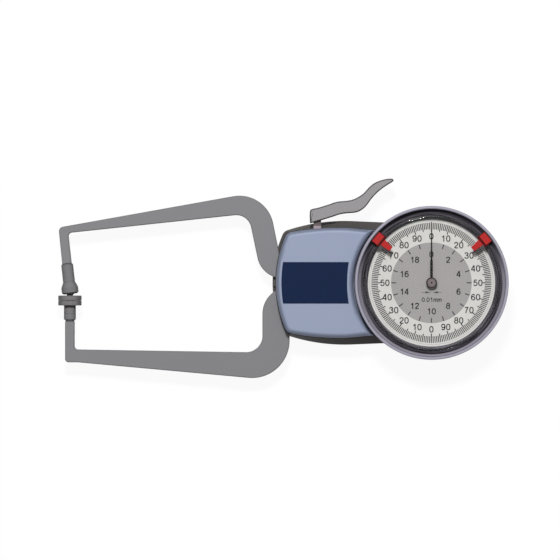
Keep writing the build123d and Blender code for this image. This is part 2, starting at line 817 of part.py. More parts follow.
# Hub of the moving arm: a steel sleeve with a flange, the arm on one side of it and the
# toothed sector on the other
hub_bottom = sector_level
hub_proud = 0.2
hub_top = arm_level + arm_thickness + hub_proud
flange_bottom = sector_level + sector_thickness
bush_radius = pin_radius + bush_wall
bush_length = 3.4
bush_flange_radius = 3.9
bush_flange = 0.5
with BuildPart() as arm_hub:
    with BuildSketch(Plane.XY.offset(hub_bottom)):
        with Locations(pivot):
            Circle(hub_radius)
    extrude(amount=hub_top - hub_bottom)
    with BuildSketch(Plane.XY.offset(flange_bottom)):
        with Locations(pivot):
            Circle(hub_flange_radius)
    extrude(amount=arm_level - flange_bottom)
    with BuildSketch(Plane.XY.offset(hub_bottom)):
        with Locations(pivot):
            Circle(bush_radius + press_gap)
    extrude(amount=hub_top - hub_bottom, mode=Mode.SUBTRACT)
    with BuildSketch(Plane.XY.offset(flange_bottom)):
        with Locations(*eye_screws_at):
            Circle(small_screw_radius + press_gap)
    extrude(amount=arm_level - flange_bottom, mode=Mode.SUBTRACT)
arm_hub.part.label = "arm_hub"
export_step(arm_hub.part, "parts/arm_hub.step")

# Two flanged bronze bushes in the hub
with BuildPart() as pivot_bushes:
    with BuildSketch(Plane.XY.offset(hub_bottom - bush_flange)):
        with Locations(pivot):
            Circle(bush_flange_radius)
    extrude(amount=bush_flange)
    with BuildSketch(Plane.XY.offset(hub_bottom)):
        with Locations(pivot):
            Circle(bush_radius)
    extrude(amount=bush_length)
    with BuildSketch(Plane.XY.offset(hub_top)):
        with Locations(pivot):
            Circle(bush_flange_radius)
    extrude(amount=bush_flange)
    with BuildSketch(Plane.XY.offset(hub_top)):
        with Locations(pivot):
            Circle(bush_radius)
    extrude(amount=-bush_length)
    with BuildSketch(Plane.XY.offset(hub_bottom - bush_flange)):
        with Locations(pivot):
            Circle(pin_radius + running_gap)
    extrude(amount=front_top, mode=Mode.SUBTRACT)
pivot_bushes.part.label = "pivot_bushes"
export_step(pivot_bushes.part, "parts/pivot_bushes.step")

# Pivot pin, held in both halves of the housing, with a groove for its circlip
circlip_thickness = 0.5
circlip_level = hub_top + bush_flange + 2 * running_gap
circlip_depth = 0.4
circlip_radius = 3.2
pin_top = flange_level + wall / 2 - running_gap
with BuildPart() as pivot_pin:
    with BuildSketch(Plane.XY.offset(hole_floor)):
        with Locations(pivot):
            Circle(pin_radius)
    extrude(amount=pin_top - hole_floor)
    with BuildSketch(Plane.XY.offset(circlip_level)):
        with Locations(pivot):
            Circle(pin_radius + press_gap)
            Circle(pin_radius - circlip_depth, mode=Mode.SUBTRACT)
    extrude(amount=circlip_thickness, mode=Mode.SUBTRACT)
pivot_pin.part.label = "pivot_pin"
export_step(pivot_pin.part, "parts/pivot_pin.step")

with BuildPart() as pivot_circlip:
    with BuildSketch(Plane.XY.offset(circlip_level + press_gap)):
        with Locations(pivot):
            Circle(circlip_radius)
            Circle(pin_radius - circlip_depth + press_gap, mode=Mode.SUBTRACT)
        with Locations((pivot_x + pin_radius, pivot_y)):
            Rectangle(2 * pin_radius, pin_radius, mode=Mode.SUBTRACT)
    extrude(amount=circlip_thickness - 2 * press_gap)
pivot_circlip.part.label = "pivot_circlip"
export_step(pivot_circlip.part, "parts/pivot_circlip.step")

# Toothed sector: a brass fan with an eye round the hub, a window and a toothed rim
sector_rim = 38.5
sector_eye_radius = 7.0
window_inner = 22.0
window_outer = 35.0
fan_edge = 2.5
rim_overlap = 1.5
spring_pin_radius = 0.8
sector_teeth_kept = range(first_sector_tooth, last_sector_tooth + 1)


def fan_corner(radius, side):
    """Corner of the sector's window, an edge's width in from the fan's side."""
    edge = degrees(fan_edge / radius)
    return polar(radius, sector_low + edge if side < 0 else sector_high - edge, pivot)


with BuildPart() as gear_sector:
    with BuildSketch(Plane.XY.offset(sector_level)):
        with BuildLine():
            Polyline(
                *gear_points(
                    sector_teeth, sector_module, arbor_direction, pivot, sector_teeth_kept
                ),
                polar(sector_rim, sector_high, pivot),
                polar(sector_rim, sector_low, pivot),
                close=True,
            )
        make_face()
        with BuildLine():
            Polyline(
                pivot,
                polar(sector_rim + rim_overlap, sector_low, pivot),
                polar(sector_rim + rim_overlap, sector_high, pivot),
                close=True,
            )
        make_face()
        with Locations(pivot):
            Circle(sector_eye_radius)
            Circle(hub_radius + press_gap, mode=Mode.SUBTRACT)
        with BuildLine():
            Polyline(
                fan_corner(window_inner, -1),
                fan_corner(window_outer, -1),
                fan_corner(window_outer, 1),
                fan_corner(window_inner, 1),
                close=True,
            )
        make_face(mode=Mode.SUBTRACT)
        with Locations(spring_hook_at):
            Circle(spring_pin_radius + press_gap, mode=Mode.SUBTRACT)
    extrude(amount=sector_thickness)
gear_sector.part.label = "gear_sector"
export_step(gear_sector.part, "parts/gear_sector.step")

# Return spring: a close coil between a pin on the sector and a pin in the housing, with an
# eye round each
spring_level = 8.8
spring_pin_top = 9.6
spring_wire = 0.25
spring_coil_radius = 1.5
spring_coil_core = 1.1
spring_eye_radius = 1.35
spring_turns = 12
coil_bottom = spring_hook_at[1] + spring_eye_radius
coil_top = spring_post_at[1] - spring_eye_radius
coil_pitch = (coil_top - coil_bottom) / spring_turns
spring_plane = Plane(origin=(spring_hook_at[0], 0, spring_level), z_dir=(0, 0, 1))
spring_axis = Axis((spring_hook_at[0], 0, spring_level), (0, 1, 0))
coil_waves = [
    (spring_coil_radius if half % 2 else spring_coil_core, coil_bottom + half * coil_pitch / 2)
    for half in range(2 * spring_turns + 1)
]
with BuildPart() as return_spring:
    with BuildSketch(spring_plane):
        with BuildLine():
            Polyline((0, coil_bottom), *coil_waves, (0, coil_top), close=True)
        make_face()
    revolve(axis=spring_axis)
    with Locations(
        (spring_hook_at[0], spring_hook_at[1], spring_level),
        (spring_post_at[0], spring_post_at[1], spring_level),
    ):
        Torus(spring_eye_radius, spring_wire)
return_spring.part.label = "return_spring"
export_step(return_spring.part, "parts/return_spring.step")

with BuildPart() as sector_spring_pin:
    with BuildSketch(Plane.XY.offset(sector_level)):
        with Locations(spring_hook_at):
            Circle(spring_pin_radius)
    extrude(amount=spring_pin_top - sector_level)
sector_spring_pin.part.label = "sector_spring_pin"
export_step(sector_spring_pin.part, "parts/sector_spring_pin.step")

with BuildPart() as housing_spring_pin:
    with BuildSketch(Plane.XY.offset(hole_floor)):
        with Locations(spring_post_at):
            Circle(spring_post_radius)
    extrude(amount=spring_pin_top - hole_floor)
housing_spring_pin.part.label = "housing_spring_pin"
export_step(housing_spring_pin.part, "parts/housing_spring_pin.step")

# Stops: two steel pins in the housing, one on each side of the fan's travel
with BuildPart() as stop_pins:
    with BuildSketch(Plane.XY.offset(hole_floor)):
        with Locations(*stops_at):
            Circle(stop_radius)
    extrude(amount=sector_level + sector_thickness + free_gap - hole_floor)
stop_pins.part.label = "stop_pins"
export_step(stop_pins.part, "parts/stop_pins.step")

# Movement: a base plate and a bridge on pillars, both outlined round what they hold
plate_top = plate_level + plate_thickness
bridge_top = bridge_level + bridge_thickness
plate_ear = 2.8
pillar_radius = 1.8
jewel_radius = 1.5
hair_stud_reach = 8.4
hair_stud_direction = 150.0
hair_stud_radius = 0.7
hair_stud_at = polar(hair_stud_reach, hair_stud_direction)
idler_stud_radius = 0.7
jewels_at = (arbor, (0.0, 0.0))
with BuildPart() as movement_plate:
    with BuildSketch(Plane.XY.offset(plate_level)):
        with Locations(*plate_screws_at, *pillars_at):
            Circle(plate_ear)
        make_hull()
        with Locations(*plate_screws_at, *pillars_at):
            Circle(small_screw_radius + press_gap, mode=Mode.SUBTRACT)
        with Locations(*jewels_at):
            Circle(jewel_radius + press_gap, mode=Mode.SUBTRACT)
    extrude(amount=plate_thickness)
movement_plate.part.label = "movement_plate"
export_step(movement_plate.part, "parts/movement_plate.step")

with BuildPart() as movement_bridge:
    with BuildSketch(Plane.XY.offset(bridge_level)):
        with Locations(*pillars_at, hair_stud_at, idler):
            Circle(plate_ear)
        make_hull()
        with Locations(*pillars_at):
            Circle(small_screw_radius + press_gap, mode=Mode.SUBTRACT)
        with Locations(*jewels_at):
            Circle(jewel_radius + press_gap, mode=Mode.SUBTRACT)
        with Locations(hair_stud_at):
            Circle(hair_stud_radius + press_gap, mode=Mode.SUBTRACT)
        with Locations(idler):
            Circle(idler_stud_radius + press_gap, mode=Mode.SUBTRACT)
    extrude(amount=bridge_thickness)
movement_bridge.part.label = "movement_bridge"
export_step(movement_bridge.part, "parts/movement_bridge.step")

with BuildPart() as bridge_pillars:
    with BuildSketch(Plane.XY.offset(plate_top)):
        with Locations(*pillars_at):
            Circle(pillar_radius)
            Circle(small_screw_radius + press_gap, mode=Mode.SUBTRACT)
    extrude(amount=bridge_level - plate_top)
bridge_pillars.part.label = "bridge_pillars"
export_step(bridge_pillars.part, "parts/bridge_pillars.step")

with BuildPart() as bearing_jewels:
    for jewel_level, jewel_height in (
        (plate_level, plate_thickness),
        (bridge_level, bridge_thickness),
    ):
        with BuildSketch(Plane.XY.offset(jewel_level)):
            with Locations(*jewels_at):
                Circle(jewel_radius)
                Circle(arbor_radius + running_gap, mode=Mode.SUBTRACT)
        extrude(amount=jewel_height)
bearing_jewels.part.label = "bearing_jewels"
export_step(bearing_jewels.part, "parts/bearing_jewels.step")

# Screws, each set a group of like ones: where they stand, the way that the heads point, the
# heights of the head's seat and of the shank's end
screw_end_gap = 0.2
arm_top = arm_level + arm_thickness
socket_share = 0.55
large_screw = (screw_head_radius, screw_head_height - press_gap, screw_radius)
small_screw = (small_screw_head_radius, small_screw_head_height, small_screw_radius)
screw_sets = {
    "housing_screws": (
        housing_screws_at,
        (-1, screw_head_height, flange_level + wall / 2 - screw_end_gap),
        large_screw,
    ),
    "fixed_arm_screws": (
        arm_screws_at,
        (1, arm_top - screw_head_height, floor_thickness),
        large_screw,
    ),
    "hub_screws": (
        eye_screws_at,
        (1, arm_top - small_screw_head_height, flange_bottom + screw_end_gap),
        small_screw,
    ),
    "stem_screws": (stem_screws_at, (1, foot_top, arm_level + screw_end_gap), small_screw),
    "plate_screws": (plate_screws_at, (1, plate_top, hole_floor + screw_end_gap), small_screw),
    "bridge_screws": (pillars_at, (1, bridge_top, (plate_top + bridge_level) / 2), small_screw),
}
for screw_name, (spots, (way, seat, shank_end), screw_size) in screw_sets.items():
    head_radius, head_height, shank_radius = screw_size
    with BuildPart() as screws:
        with BuildSketch(Plane.XY.offset(seat)):
            with Locations(*spots):
                Circle(head_radius)
        extrude(amount=way * head_height)
        with BuildSketch(Plane.XY.offset(seat + way * head_height)):
            with Locations(*spots):
                RegularPolygon(head_radius * socket_share, 6)
        extrude(amount=-way * head_height * socket_share, mode=Mode.SUBTRACT)
        with BuildSketch(Plane.XY.offset(seat)):
            with Locations(*spots):
                Circle(shank_radius)
        extrude(amount=shank_end - seat)
    screws.part.label = screw_name
    export_step(screws.part, f"parts/{screw_name}.step")

# First arbor: a steel shaft with its pinion, and the large brass wheel pressed on it
pinion_overhang = 0.3
shaft_bottom = plate_level + 0.2
shaft_top = bridge_top + 0.2
first_pinion_turn = arbor_direction + 180.0 + 180.0 / first_pinion_teeth
with BuildPart() as first_arbor:
    with BuildSketch(Plane.XY.offset(shaft_bottom)):
        with Locations(arbor):
            Circle(arbor_radius)
    extrude(amount=shaft_top - shaft_bottom)
    with BuildSketch(Plane.XY.offset(sector_level - pinion_overhang)):
        with BuildLine():
            Polyline(
                *gear_points(first_pinion_teeth, sector_module, first_pinion_turn, arbor),
                close=True,
            )
        make_face()
    extrude(amount=sector_thickness + 2 * pinion_overhang)
first_arbor.part.label = "first_arbor"
export_step(first_arbor.part, "parts/first_arbor.step")

wheel_window_reach = 4.9
wheel_window_radius = 2.7
with BuildPart() as first_wheel:
    with BuildSketch(Plane.XY.offset(wheel_level)):
        with BuildLine():
            Polyline(*gear_points(wheel_teeth, wheel_module, wheel_direction, arbor), close=True)
        make_face()
        with Locations(arbor):
            Circle(arbor_radius + press_gap, mode=Mode.SUBTRACT)
            with PolarLocations(wheel_window_reach, 4, 45):
                Circle(wheel_window_radius, mode=Mode.SUBTRACT)
    extrude(amount=wheel_thickness)
first_wheel.part.label = "first_wheel"
export_step(first_wheel.part, "parts/first_wheel.step")

# Centre arbor: a long shaft through the dial, with the pinion that the wheel drives and the
# pinion that drives the idler
centre_turn = wheel_direction + 180.0 + 180.0 / centre_pinion_teeth
cannon_turn = idler_direction
hub_cap_top = 24.3
arbor_top = hub_cap_top - 0.5
with BuildPart() as centre_arbor:
    with BuildSketch(Plane.XY.offset(shaft_bottom)):
        Circle(arbor_radius)
    extrude(amount=arbor_top - shaft_bottom)
    for pinion_level, pinion_height, pinion_turn in (
        (wheel_level - pinion_overhang, wheel_thickness + 2 * pinion_overhang, centre_turn),
        (idler_level - pinion_overhang, motion_thickness + 2 * pinion_overhang, cannon_turn),
    ):
        with BuildSketch(Plane.XY.offset(pinion_level)):
            with BuildLine():
                Polyline(
                    *gear_points(centre_pinion_teeth, wheel_module, pinion_turn), close=True
                )
            make_face()
        extrude(amount=pinion_height)
centre_arbor.part.label = "centre_arbor"
export_step(centre_arbor.part, "parts/centre_arbor.step")

# Idler: a wheel and a pinion in one, on a shouldered stud in the bridge
idler_turn = idler_direction + 180.0 + 180.0 / idler_teeth
idler_pinion_turn = idler_direction + 180.0
idler_pinion_overhang = 0.5
idler_top = hour_level + motion_thickness + idler_pinion_overhang
with BuildPart() as idler_wheel:
    with BuildSketch(Plane.XY.offset(idler_level)):
        with BuildLine():
            Polyline(*gear_points(idler_teeth, wheel_module, idler_turn, idler), close=True)
        make_face()
    extrude(amount=motion_thickness)
    with BuildSketch(Plane.XY.offset(idler_level + motion_thickness)):
        with BuildLine():
            Polyline(
                *gear_points(idler_pinion_teeth, wheel_module, idler_pinion_turn, idler),
                close=True,
            )
        make_face()
    extrude(amount=idler_top - idler_level - motion_thickness)
    with BuildSketch(Plane.XY.offset(idler_level)):
        with Locations(idler):
            Circle(idler_stud_radius + running_gap)
    extrude(amount=idler_top - idler_level, mode=Mode.SUBTRACT)
idler_wheel.part.label = "idler_wheel"
export_step(idler_wheel.part, "parts/idler_wheel.step")

stud_head_height = 0.4
stud_head_radius = 1.2
stud_shoulder_radius = 1.4
with BuildPart() as idler_stud:
    with BuildSketch(Plane.XY.offset(bridge_level)):
        with Locations(idler):
            Circle(idler_stud_radius)
    extrude(amount=idler_top + 2 * running_gap - bridge_level)
    with BuildSketch(Plane.XY.offset(bridge_top)):
        with Locations(idler):
            Circle(stud_shoulder_radius)
    extrude(amount=idler_level - running_gap - bridge_top)
    with BuildSketch(Plane.XY.offset(idler_top + 2 * running_gap)):
        with Locations(idler):
            Circle(stud_head_radius)
    extrude(amount=stud_head_height)
idler_stud.part.label = "idler_stud"
export_step(idler_stud.part, "parts/idler_stud.step")

# Hour wheel with its tube, which turns on the centre arbor and carries the short hand
tube_radius = 1.1
short_hand_level = hand_level
tube_proud = 0.5
hour_tube_top = short_hand_level + tube_proud
hour_turn = idler_direction + 180.0 / hour_teeth
with BuildPart() as hour_wheel:
    with BuildSketch(Plane.XY.offset(hour_level)):
        with BuildLine():
            Polyline(*gear_points(hour_teeth, wheel_module, hour_turn), close=True)
        make_face()
    extrude(amount=motion_thickness)
    with BuildSketch(Plane.XY.offset(hour_level)):
        Circle(tube_radius)
    extrude(amount=hour_tube_top - hour_level)
    with BuildSketch(Plane.XY.offset(hour_level)):
        Circle(arbor_radius + running_gap)
    extrude(amount=hour_tube_top - hour_level, mode=Mode.SUBTRACT)
hour_wheel.part.label = "hour_wheel"
export_step(hour_wheel.part, "parts/hour_wheel.step")

# Hairspring: a flat spiral that takes up the teeth's play, from a collet to a stud
collet_radius = 1.9
hair_width = 0.16
hair_height = 0.5
hair_turns = 3
hair_steps = 16
hair_end = hair_stud_reach - hair_stud_radius - hair_width - press_gap


def spiral(offset_out):
    """Points of the hairspring's spiral, moved outwards by an offset."""
    count = hair_turns * hair_steps
    start = hair_stud_direction - 360.0 * hair_turns
    growth = (hair_end - collet_radius) / count
    return [
        polar(collet_radius + offset_out + growth * number, start + 360.0 * number / hair_steps)
        for number in range(count + 1)
    ]


with BuildPart() as hairspring:
    with BuildSketch(Plane.XY.offset(hairspring_level)):
        with BuildLine():
            Polyline(*spiral(0.0), *reversed(spiral(hair_width)), close=True)
        make_face()
    extrude(amount=hair_height)
hairspring.part.label = "hairspring"
export_step(hairspring.part, "parts/hairspring.step")

with BuildPart() as hairspring_collet:
    with BuildSketch(Plane.XY.offset(hairspring_level)):
        Circle(collet_radius - press_gap)
        Circle(tube_radius + press_gap, mode=Mode.SUBTRACT)
    extrude(amount=hair_height)
hairspring_collet.part.label = "hairspring_collet"
export_step(hairspring_collet.part, "parts/hairspring_collet.step")

with BuildPart() as hairspring_stud:
    with BuildSketch(Plane.XY.offset(bridge_level)):
        with Locations(hair_stud_at):
            Circle(hair_stud_radius)
    extrude(amount=hairspring_level + hair_height - bridge_level)
hairspring_stud.part.label = "hairspring_stud"
export_step(hairspring_stud.part, "parts/hairspring_stud.step")

# Hands: the short one on the tube, the long one on the arbor under a round cap
short_hand_thickness = 0.3
short_hand_reach = 12.0
short_hand_width = 1.1
short_hand_point = 3.0
hand_boss_radius = 2.0
with BuildPart() as short_hand:
    with BuildSketch(Plane.XY.offset(short_hand_level)):
        with BuildLine():
            Polyline(
                (-short_hand_width / 2, 0),
                (-short_hand_width / 2, short_hand_reach - short_hand_point),
                (0, short_hand_reach),
                (short_hand_width / 2, short_hand_reach - short_hand_point),
                (short_hand_width / 2, 0),
                close=True,
            )
        make_face()
        Circle(hand_boss_radius)
        Circle(tube_radius + press_gap, mode=Mode.SUBTRACT)
    extrude(amount=short_hand_thickness)
short_hand.part.label = "short_hand"
export_step(short_hand.part, "parts/short_hand.step")

long_hand_level = hour_tube_top + free_gap
long_hand_reach = 26.0
long_hand_root = 0.45
long_hand_tip = 0.14
long_hand_thickness = 0.3
hub_cap_radius = 2.3
hub_cap_edge = 0.3
with BuildPart() as long_hand:
    with BuildSketch(Plane.XY.offset(long_hand_level)):
        with BuildLine():
            Polyline(
                (-long_hand_root, 0),
                (-long_hand_tip, long_hand_reach),
                (long_hand_tip, long_hand_reach),
                (long_hand_root, 0),
                close=True,
            )
        make_face()
    extrude(amount=long_hand_thickness)
    with BuildSketch(Plane.XY.offset(long_hand_level)):
        Circle(hub_cap_radius)
    extrude(amount=hub_cap_top - long_hand_level)
    chamfer(long_hand.faces().sort_by(Axis.Z)[-1].edges(), hub_cap_edge)
    with BuildSketch(Plane.XY.offset(long_hand_level)):
        Circle(arbor_radius + press_gap)
    extrude(amount=arbor_top + press_gap - long_hand_level, mode=Mode.SUBTRACT)
long_hand.part.label = "long_hand"
export_step(long_hand.part, "parts/long_hand.step")

# Dial plate: a thin disc held under the bezel's shelf, which turns with it
dial_hole_radius = 1.6
with BuildPart() as dial_plate:
    with BuildSketch(Plane.XY.offset(dial_level - dial_thickness)):
        Circle(collar_bore - dial_edge_gap)
        Circle(dial_hole_radius, mode=Mode.SUBTRACT)
    extrude(amount=dial_thickness)
dial_plate.part.label = "dial_plate"
export_step(dial_plate.part, "parts/dial_plate.step")

# Bezel: a turned ring round the collar, with an inner shelf over the dial and a groove for
# the snap ring that keeps it on
shelf_top = dial_level + bezel_shelf
bezel_edge = 0.4
snap_overlap = 0.35
snap_slot = 4.0
snap_reach = bezel_bore + snap_overlap
bezel_groove = snap_reach + groove_side_gap
with BuildPart() as bezel_ring:
    with BuildSketch(Plane.XZ):
        with BuildLine():
            Polyline(
                (bezel_bore, bezel_seat),
                (bezel_radius - bezel_edge, bezel_seat),
                (bezel_radius, bezel_seat + bezel_edge),
                (bezel_radius, bezel_top - bezel_edge),
                (bezel_radius - bezel_edge, bezel_top),
                (bezel_bore + bezel_edge, bezel_top),
                (bezel_bore, bezel_top - bezel_edge),
                (bezel_bore, shelf_top),
                (dial_radius, shelf_top),
                (dial_radius, dial_level),
                (bezel_bore, dial_level),
                close=True,
            )
        make_face()
        with Locations((bezel_bore, snap_ring_level)):
            Rectangle(
                2 * (bezel_groove - bezel_bore),
                snap_ring_thickness + 2 * groove_side_gap,
                mode=Mode.SUBTRACT,
            )
    revolve(axis=Axis.Z)
bezel_ring.part.label = "bezel_ring"
export_step(bezel_ring.part, "parts/bezel_ring.step")

snap_bore = collar_radius - ring_groove_depth + press_gap
with BuildPart() as bezel_snap_ring:
    with BuildSketch(Plane.XY.offset(snap_ring_level - snap_ring_thickness / 2)):
        Circle(snap_reach)
        Circle(snap_bore, mode=Mode.SUBTRACT)
        with Locations((0, -snap_reach)):
            Rectangle(snap_slot, snap_slot, mode=Mode.SUBTRACT)
    extrude(amount=snap_ring_thickness)
bezel_snap_ring.part.label = "bezel_snap_ring"
export_step(bezel_snap_ring.part, "parts/bezel_snap_ring.step")

with BuildPart() as bezel_o_ring:
    with BuildSketch(Plane.XZ):
        with Locations((bezel_bore - running_gap - o_ring_radius, o_ring_level)):
            RegularPolygon(o_ring_radius, 8)
    revolve(axis=Axis.Z)
bezel_o_ring.part.label = "bezel_o_ring"
export_step(bezel_o_ring.part, "parts/bezel_o_ring.step")

# Dark ring on the shelf, which holds the crystal and has the groove that the markers ride in
marker_groove_width = 1.35
ring_lip_inner = crystal_radius + marker_groove_width
ring_lip_width = 0.5
ring_lip_top = 27.1
ledge_width = 0.95
crystal_ledge = crystal_radius - ledge_width
gasket_thickness = 0.3
ledge_level = crystal_level - gasket_thickness
groove_level = 25.9
ring_radius = bezel_bore - press_gap
ring_bore = dial_radius + 0.1
ring_bevel = 0.4
ring_cone = 1.0
crystal_edge = 0.3
crystal_bore = crystal_radius + press_gap
with BuildPart() as crystal_ring:
    with BuildSketch(Plane.XZ):
        with BuildLine():
            Polyline(
                (ring_bore, shelf_top),
                (ring_radius, shelf_top),
                (ring_radius, groove_level + ring_bevel),
                (ring_lip_inner + ring_lip_width, ring_lip_top),
                (ring_lip_inner, ring_lip_top),
                (ring_lip_inner, groove_level),
                (crystal_bore, groove_level),
                (crystal_bore, ledge_level),
                (crystal_ledge, ledge_level),
                (ring_bore, shelf_top + ring_cone),
                close=True,
            )
        make_face()
    revolve(axis=Axis.Z)
crystal_ring.part.label = "crystal_ring"
export_step(crystal_ring.part, "parts/crystal_ring.step")

with BuildPart() as crystal_gasket:
    with BuildSketch(Plane.XY.offset(ledge_level)):
        Circle(crystal_radius)
        Circle(crystal_ledge, mode=Mode.SUBTRACT)
    extrude(amount=gasket_thickness)
crystal_gasket.part.label = "crystal_gasket"
export_step(crystal_gasket.part, "parts/crystal_gasket.step")

crystal_top = crystal_level + crystal_thickness
with BuildPart() as crystal:
    with BuildSketch(Plane.XY.offset(crystal_level)):
        Circle(crystal_radius)
    extrude(amount=crystal_thickness)
    chamfer(crystal.faces().sort_by(Axis.Z)[-1].edges(), crystal_edge)
crystal.part.label = "crystal"
export_step(crystal.part, "parts/crystal.step")

# Tolerance markers: red clips whose head reaches out over the ring's lip, with a foot in the
# ring's groove and a tapered tongue that reaches in over the scale
marker_groove_gap = 0.1
marker_head_gap = 0.25
marker_outer = ring_lip_inner - marker_groove_gap
marker_head_outer = bezel_bore - marker_head_gap
marker_inner = dial_radius - marker_groove_gap
marker_foot_inner = crystal_radius + free_gap
marker_bottom = crystal_top + running_gap + press_gap
marker_head_bottom = ring_lip_top + running_gap
foot_bottom_level = groove_level + running_gap
tongue_length = 4.6
tongue_root_width = 2.9
tongue_tip_width = 2.1
tongue_top = 27.8
marker_slope = 1.0
marker_edge = 0.3
for marker_name, marker_angle in (
    ("marker_left", 90.0 + marker_spread),
    ("marker_right", 90.0 - marker_spread),
):
    marker_axis = Axis((0, 0, 0), (cos(radians(marker_angle)), sin(radians(marker_angle)), 0))
    marker_plane = Plane(origin=(0, 0, 0), x_dir=marker_axis.direction, z_dir=(0, 0, 1))
    with BuildPart() as marker:
        with BuildSketch(marker_plane.offset(marker_head_bottom)):
            Circle(marker_head_outer)
            with Locations((marker_inner, 0)):
                Rectangle(
                    marker_head_outer,
                    marker_width,
                    align=(Align.MIN, Align.CENTER),
                    mode=Mode.INTERSECT,
                )
        extrude(amount=marker_top - marker_head_bottom)
        chamfer(
            marker.faces().sort_by(Axis.Z)[-1].edges().sort_by(marker_axis)[0], marker_slope
        )
        chamfer(marker.faces().sort_by(Axis.Z)[-1].edges().sort_by(marker_axis)[1:], marker_edge)
        with BuildSketch(marker_plane.offset(marker_bottom)):
            Circle(marker_outer)
            with Locations((marker_inner, 0)):
                Rectangle(
                    marker_outer,
                    marker_width,
                    align=(Align.MIN, Align.CENTER),
                    mode=Mode.INTERSECT,
                )
        extrude(amount=marker_head_bottom - marker_bottom)
        with BuildSketch(marker_plane.offset(marker_bottom)):
            with BuildLine():
                Polyline(
                    (marker_inner, tongue_root_width / 2),
                    (marker_inner - tongue_length, tongue_tip_width / 2),
                    (marker_inner - tongue_length, -tongue_tip_width / 2),
                    (marker_inner, -tongue_root_width / 2),
                    close=True,
                )
            make_face()
        extrude(amount=tongue_top - marker_bottom)
        with BuildSketch(marker_plane.offset(foot_bottom_level)):
            Circle(marker_outer)
            Circle(marker_foot_inner, mode=Mode.SUBTRACT)
            with Locations((marker_inner, 0)):
                Rectangle(
                    marker_outer,
                    marker_width,
                    align=(Align.MIN, Align.CENTER),
                    mode=Mode.INTERSECT,
                )
        extrude(amount=marker_bottom - foot_bottom_level)
    marker.part.label = marker_name
    export_step(marker.part, f"parts/{marker_name}.step")
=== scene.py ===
"""External caliper gauge with a dial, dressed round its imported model: finishes for every
piece, the printed dial, and a plain studio with the camera straight above the gauge."""

from math import cos, pi, radians, sin

import bpy
import numpy as np
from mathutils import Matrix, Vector


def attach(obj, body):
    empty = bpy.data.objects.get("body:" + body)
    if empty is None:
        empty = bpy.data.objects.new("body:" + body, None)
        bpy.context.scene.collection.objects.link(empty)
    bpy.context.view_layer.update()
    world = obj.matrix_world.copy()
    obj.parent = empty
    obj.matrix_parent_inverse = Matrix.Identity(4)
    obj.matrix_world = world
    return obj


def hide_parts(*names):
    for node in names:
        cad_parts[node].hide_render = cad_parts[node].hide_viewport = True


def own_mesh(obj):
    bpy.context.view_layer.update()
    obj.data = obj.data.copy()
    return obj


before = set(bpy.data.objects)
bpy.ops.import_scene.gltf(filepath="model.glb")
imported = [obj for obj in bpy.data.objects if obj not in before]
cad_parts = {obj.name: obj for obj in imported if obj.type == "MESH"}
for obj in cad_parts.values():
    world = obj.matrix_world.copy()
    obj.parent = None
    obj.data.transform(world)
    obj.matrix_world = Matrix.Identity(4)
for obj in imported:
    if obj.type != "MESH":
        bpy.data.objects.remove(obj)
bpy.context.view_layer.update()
scene = bpy.context.scene

# The studio: the gauge lies on its back on a white table, seen from straight above with a
# long lens. Sky and table show white to the camera, and the table keeps a soft shadow. The
# picture is view_width wide at view_height, close to the dial.
MM = 0.001
view_width = 238.0 * MM
view_height = 20.0 * MM
view_centre = (-64.3 * MM, 1.2 * MM)
camera_height = 2.4
camera_data = bpy.data.cameras.new("camera")
camera_data.lens = camera_data.sensor_width * (camera_height - view_height) / view_width
camera_data.clip_start = 0.1
camera_data.clip_end = 20.0
camera = bpy.data.objects.new("camera", camera_data)
camera.location = (*view_centre, camera_height)
scene.collection.objects.link(camera)
scene.camera = camera
scene.view_settings.view_transform = "Standard"

lamp_place = Vector((-0.12, 0.57, 1.38))
lamp_aim = Vector((-0.05, 0.0, 0.0))
lamp_size = (0.2, 0.16)
lamp_watts = 20.2
lamp_data = bpy.data.lights.new("top_box", "AREA")
lamp_data.shape = "RECTANGLE"
lamp_data.size, lamp_data.size_y = lamp_size
lamp_data.energy = lamp_watts
lamp = bpy.data.objects.new("top_box", lamp_data)
lamp.location = lamp_place
lamp.rotation_mode = "QUATERNION"
lamp.rotation_quaternion = (lamp_place - lamp_aim).to_track_quat("Z", "Y")
scene.collection.objects.link(lamp)


def feed(tree, node, inputs):
    """Gives each input of a node, by name or place, a value or the output of another node."""
    for name, given in inputs.items():
        if isinstance(given, bpy.types.NodeSocket):
            tree.links.new(given, node.inputs[name])
        else:
            node.inputs[name].default_value = given


def put(tree, kind, inputs=None, **settings):
    """Adds a shader node with its settings and inputs, and returns its outputs."""
    node = tree.nodes.new("ShaderNode" + kind)
    for setting, value in settings.items():
        setattr(node, setting, value)
    feed(tree, node, inputs or {})
    return node.outputs


def times(tree, first, second):
    """Product of two values."""
    return put(tree, "Math", {0: first, 1: second}, operation="MULTIPLY")["Value"]


def spread(tree, value, start, end, low=0.0, high=1.0, **settings):
    """Value that runs from low to high, and no further, as another runs from start to end."""
    inputs = {"Value": value, "From Min": start, "From Max": end, "To Min": low, "To Max": high}
    return put(tree, "MapRange", inputs, **settings)["Result"]


def seen_rays(tree):
    """1 for the rays that show white: from the camera, off a gloss or through the crystal."""
    path = put(tree, "LightPath")
    direct = {0: path["Is Camera Ray"], 1: path["Is Glossy Ray"]}
    seen = put(tree, "Math", direct, operation="ADD")["Value"]
    every = {0: seen, 1: path["Is Transmission Ray"]}
    return put(tree, "Math", every, operation="ADD", use_clamp=True)["Value"]


def make_piece(name, vertices, faces, *materials):
    """An object at the origin with a mesh of its own."""
    mesh = bpy.data.meshes.new(name)
    mesh.from_pydata(np.asarray(vertices).tolist(), [], faces)
    for material in materials:
        mesh.materials.append(material)
    piece = bpy.data.objects.new(name, mesh)
    scene.collection.objects.link(piece)
    return piece


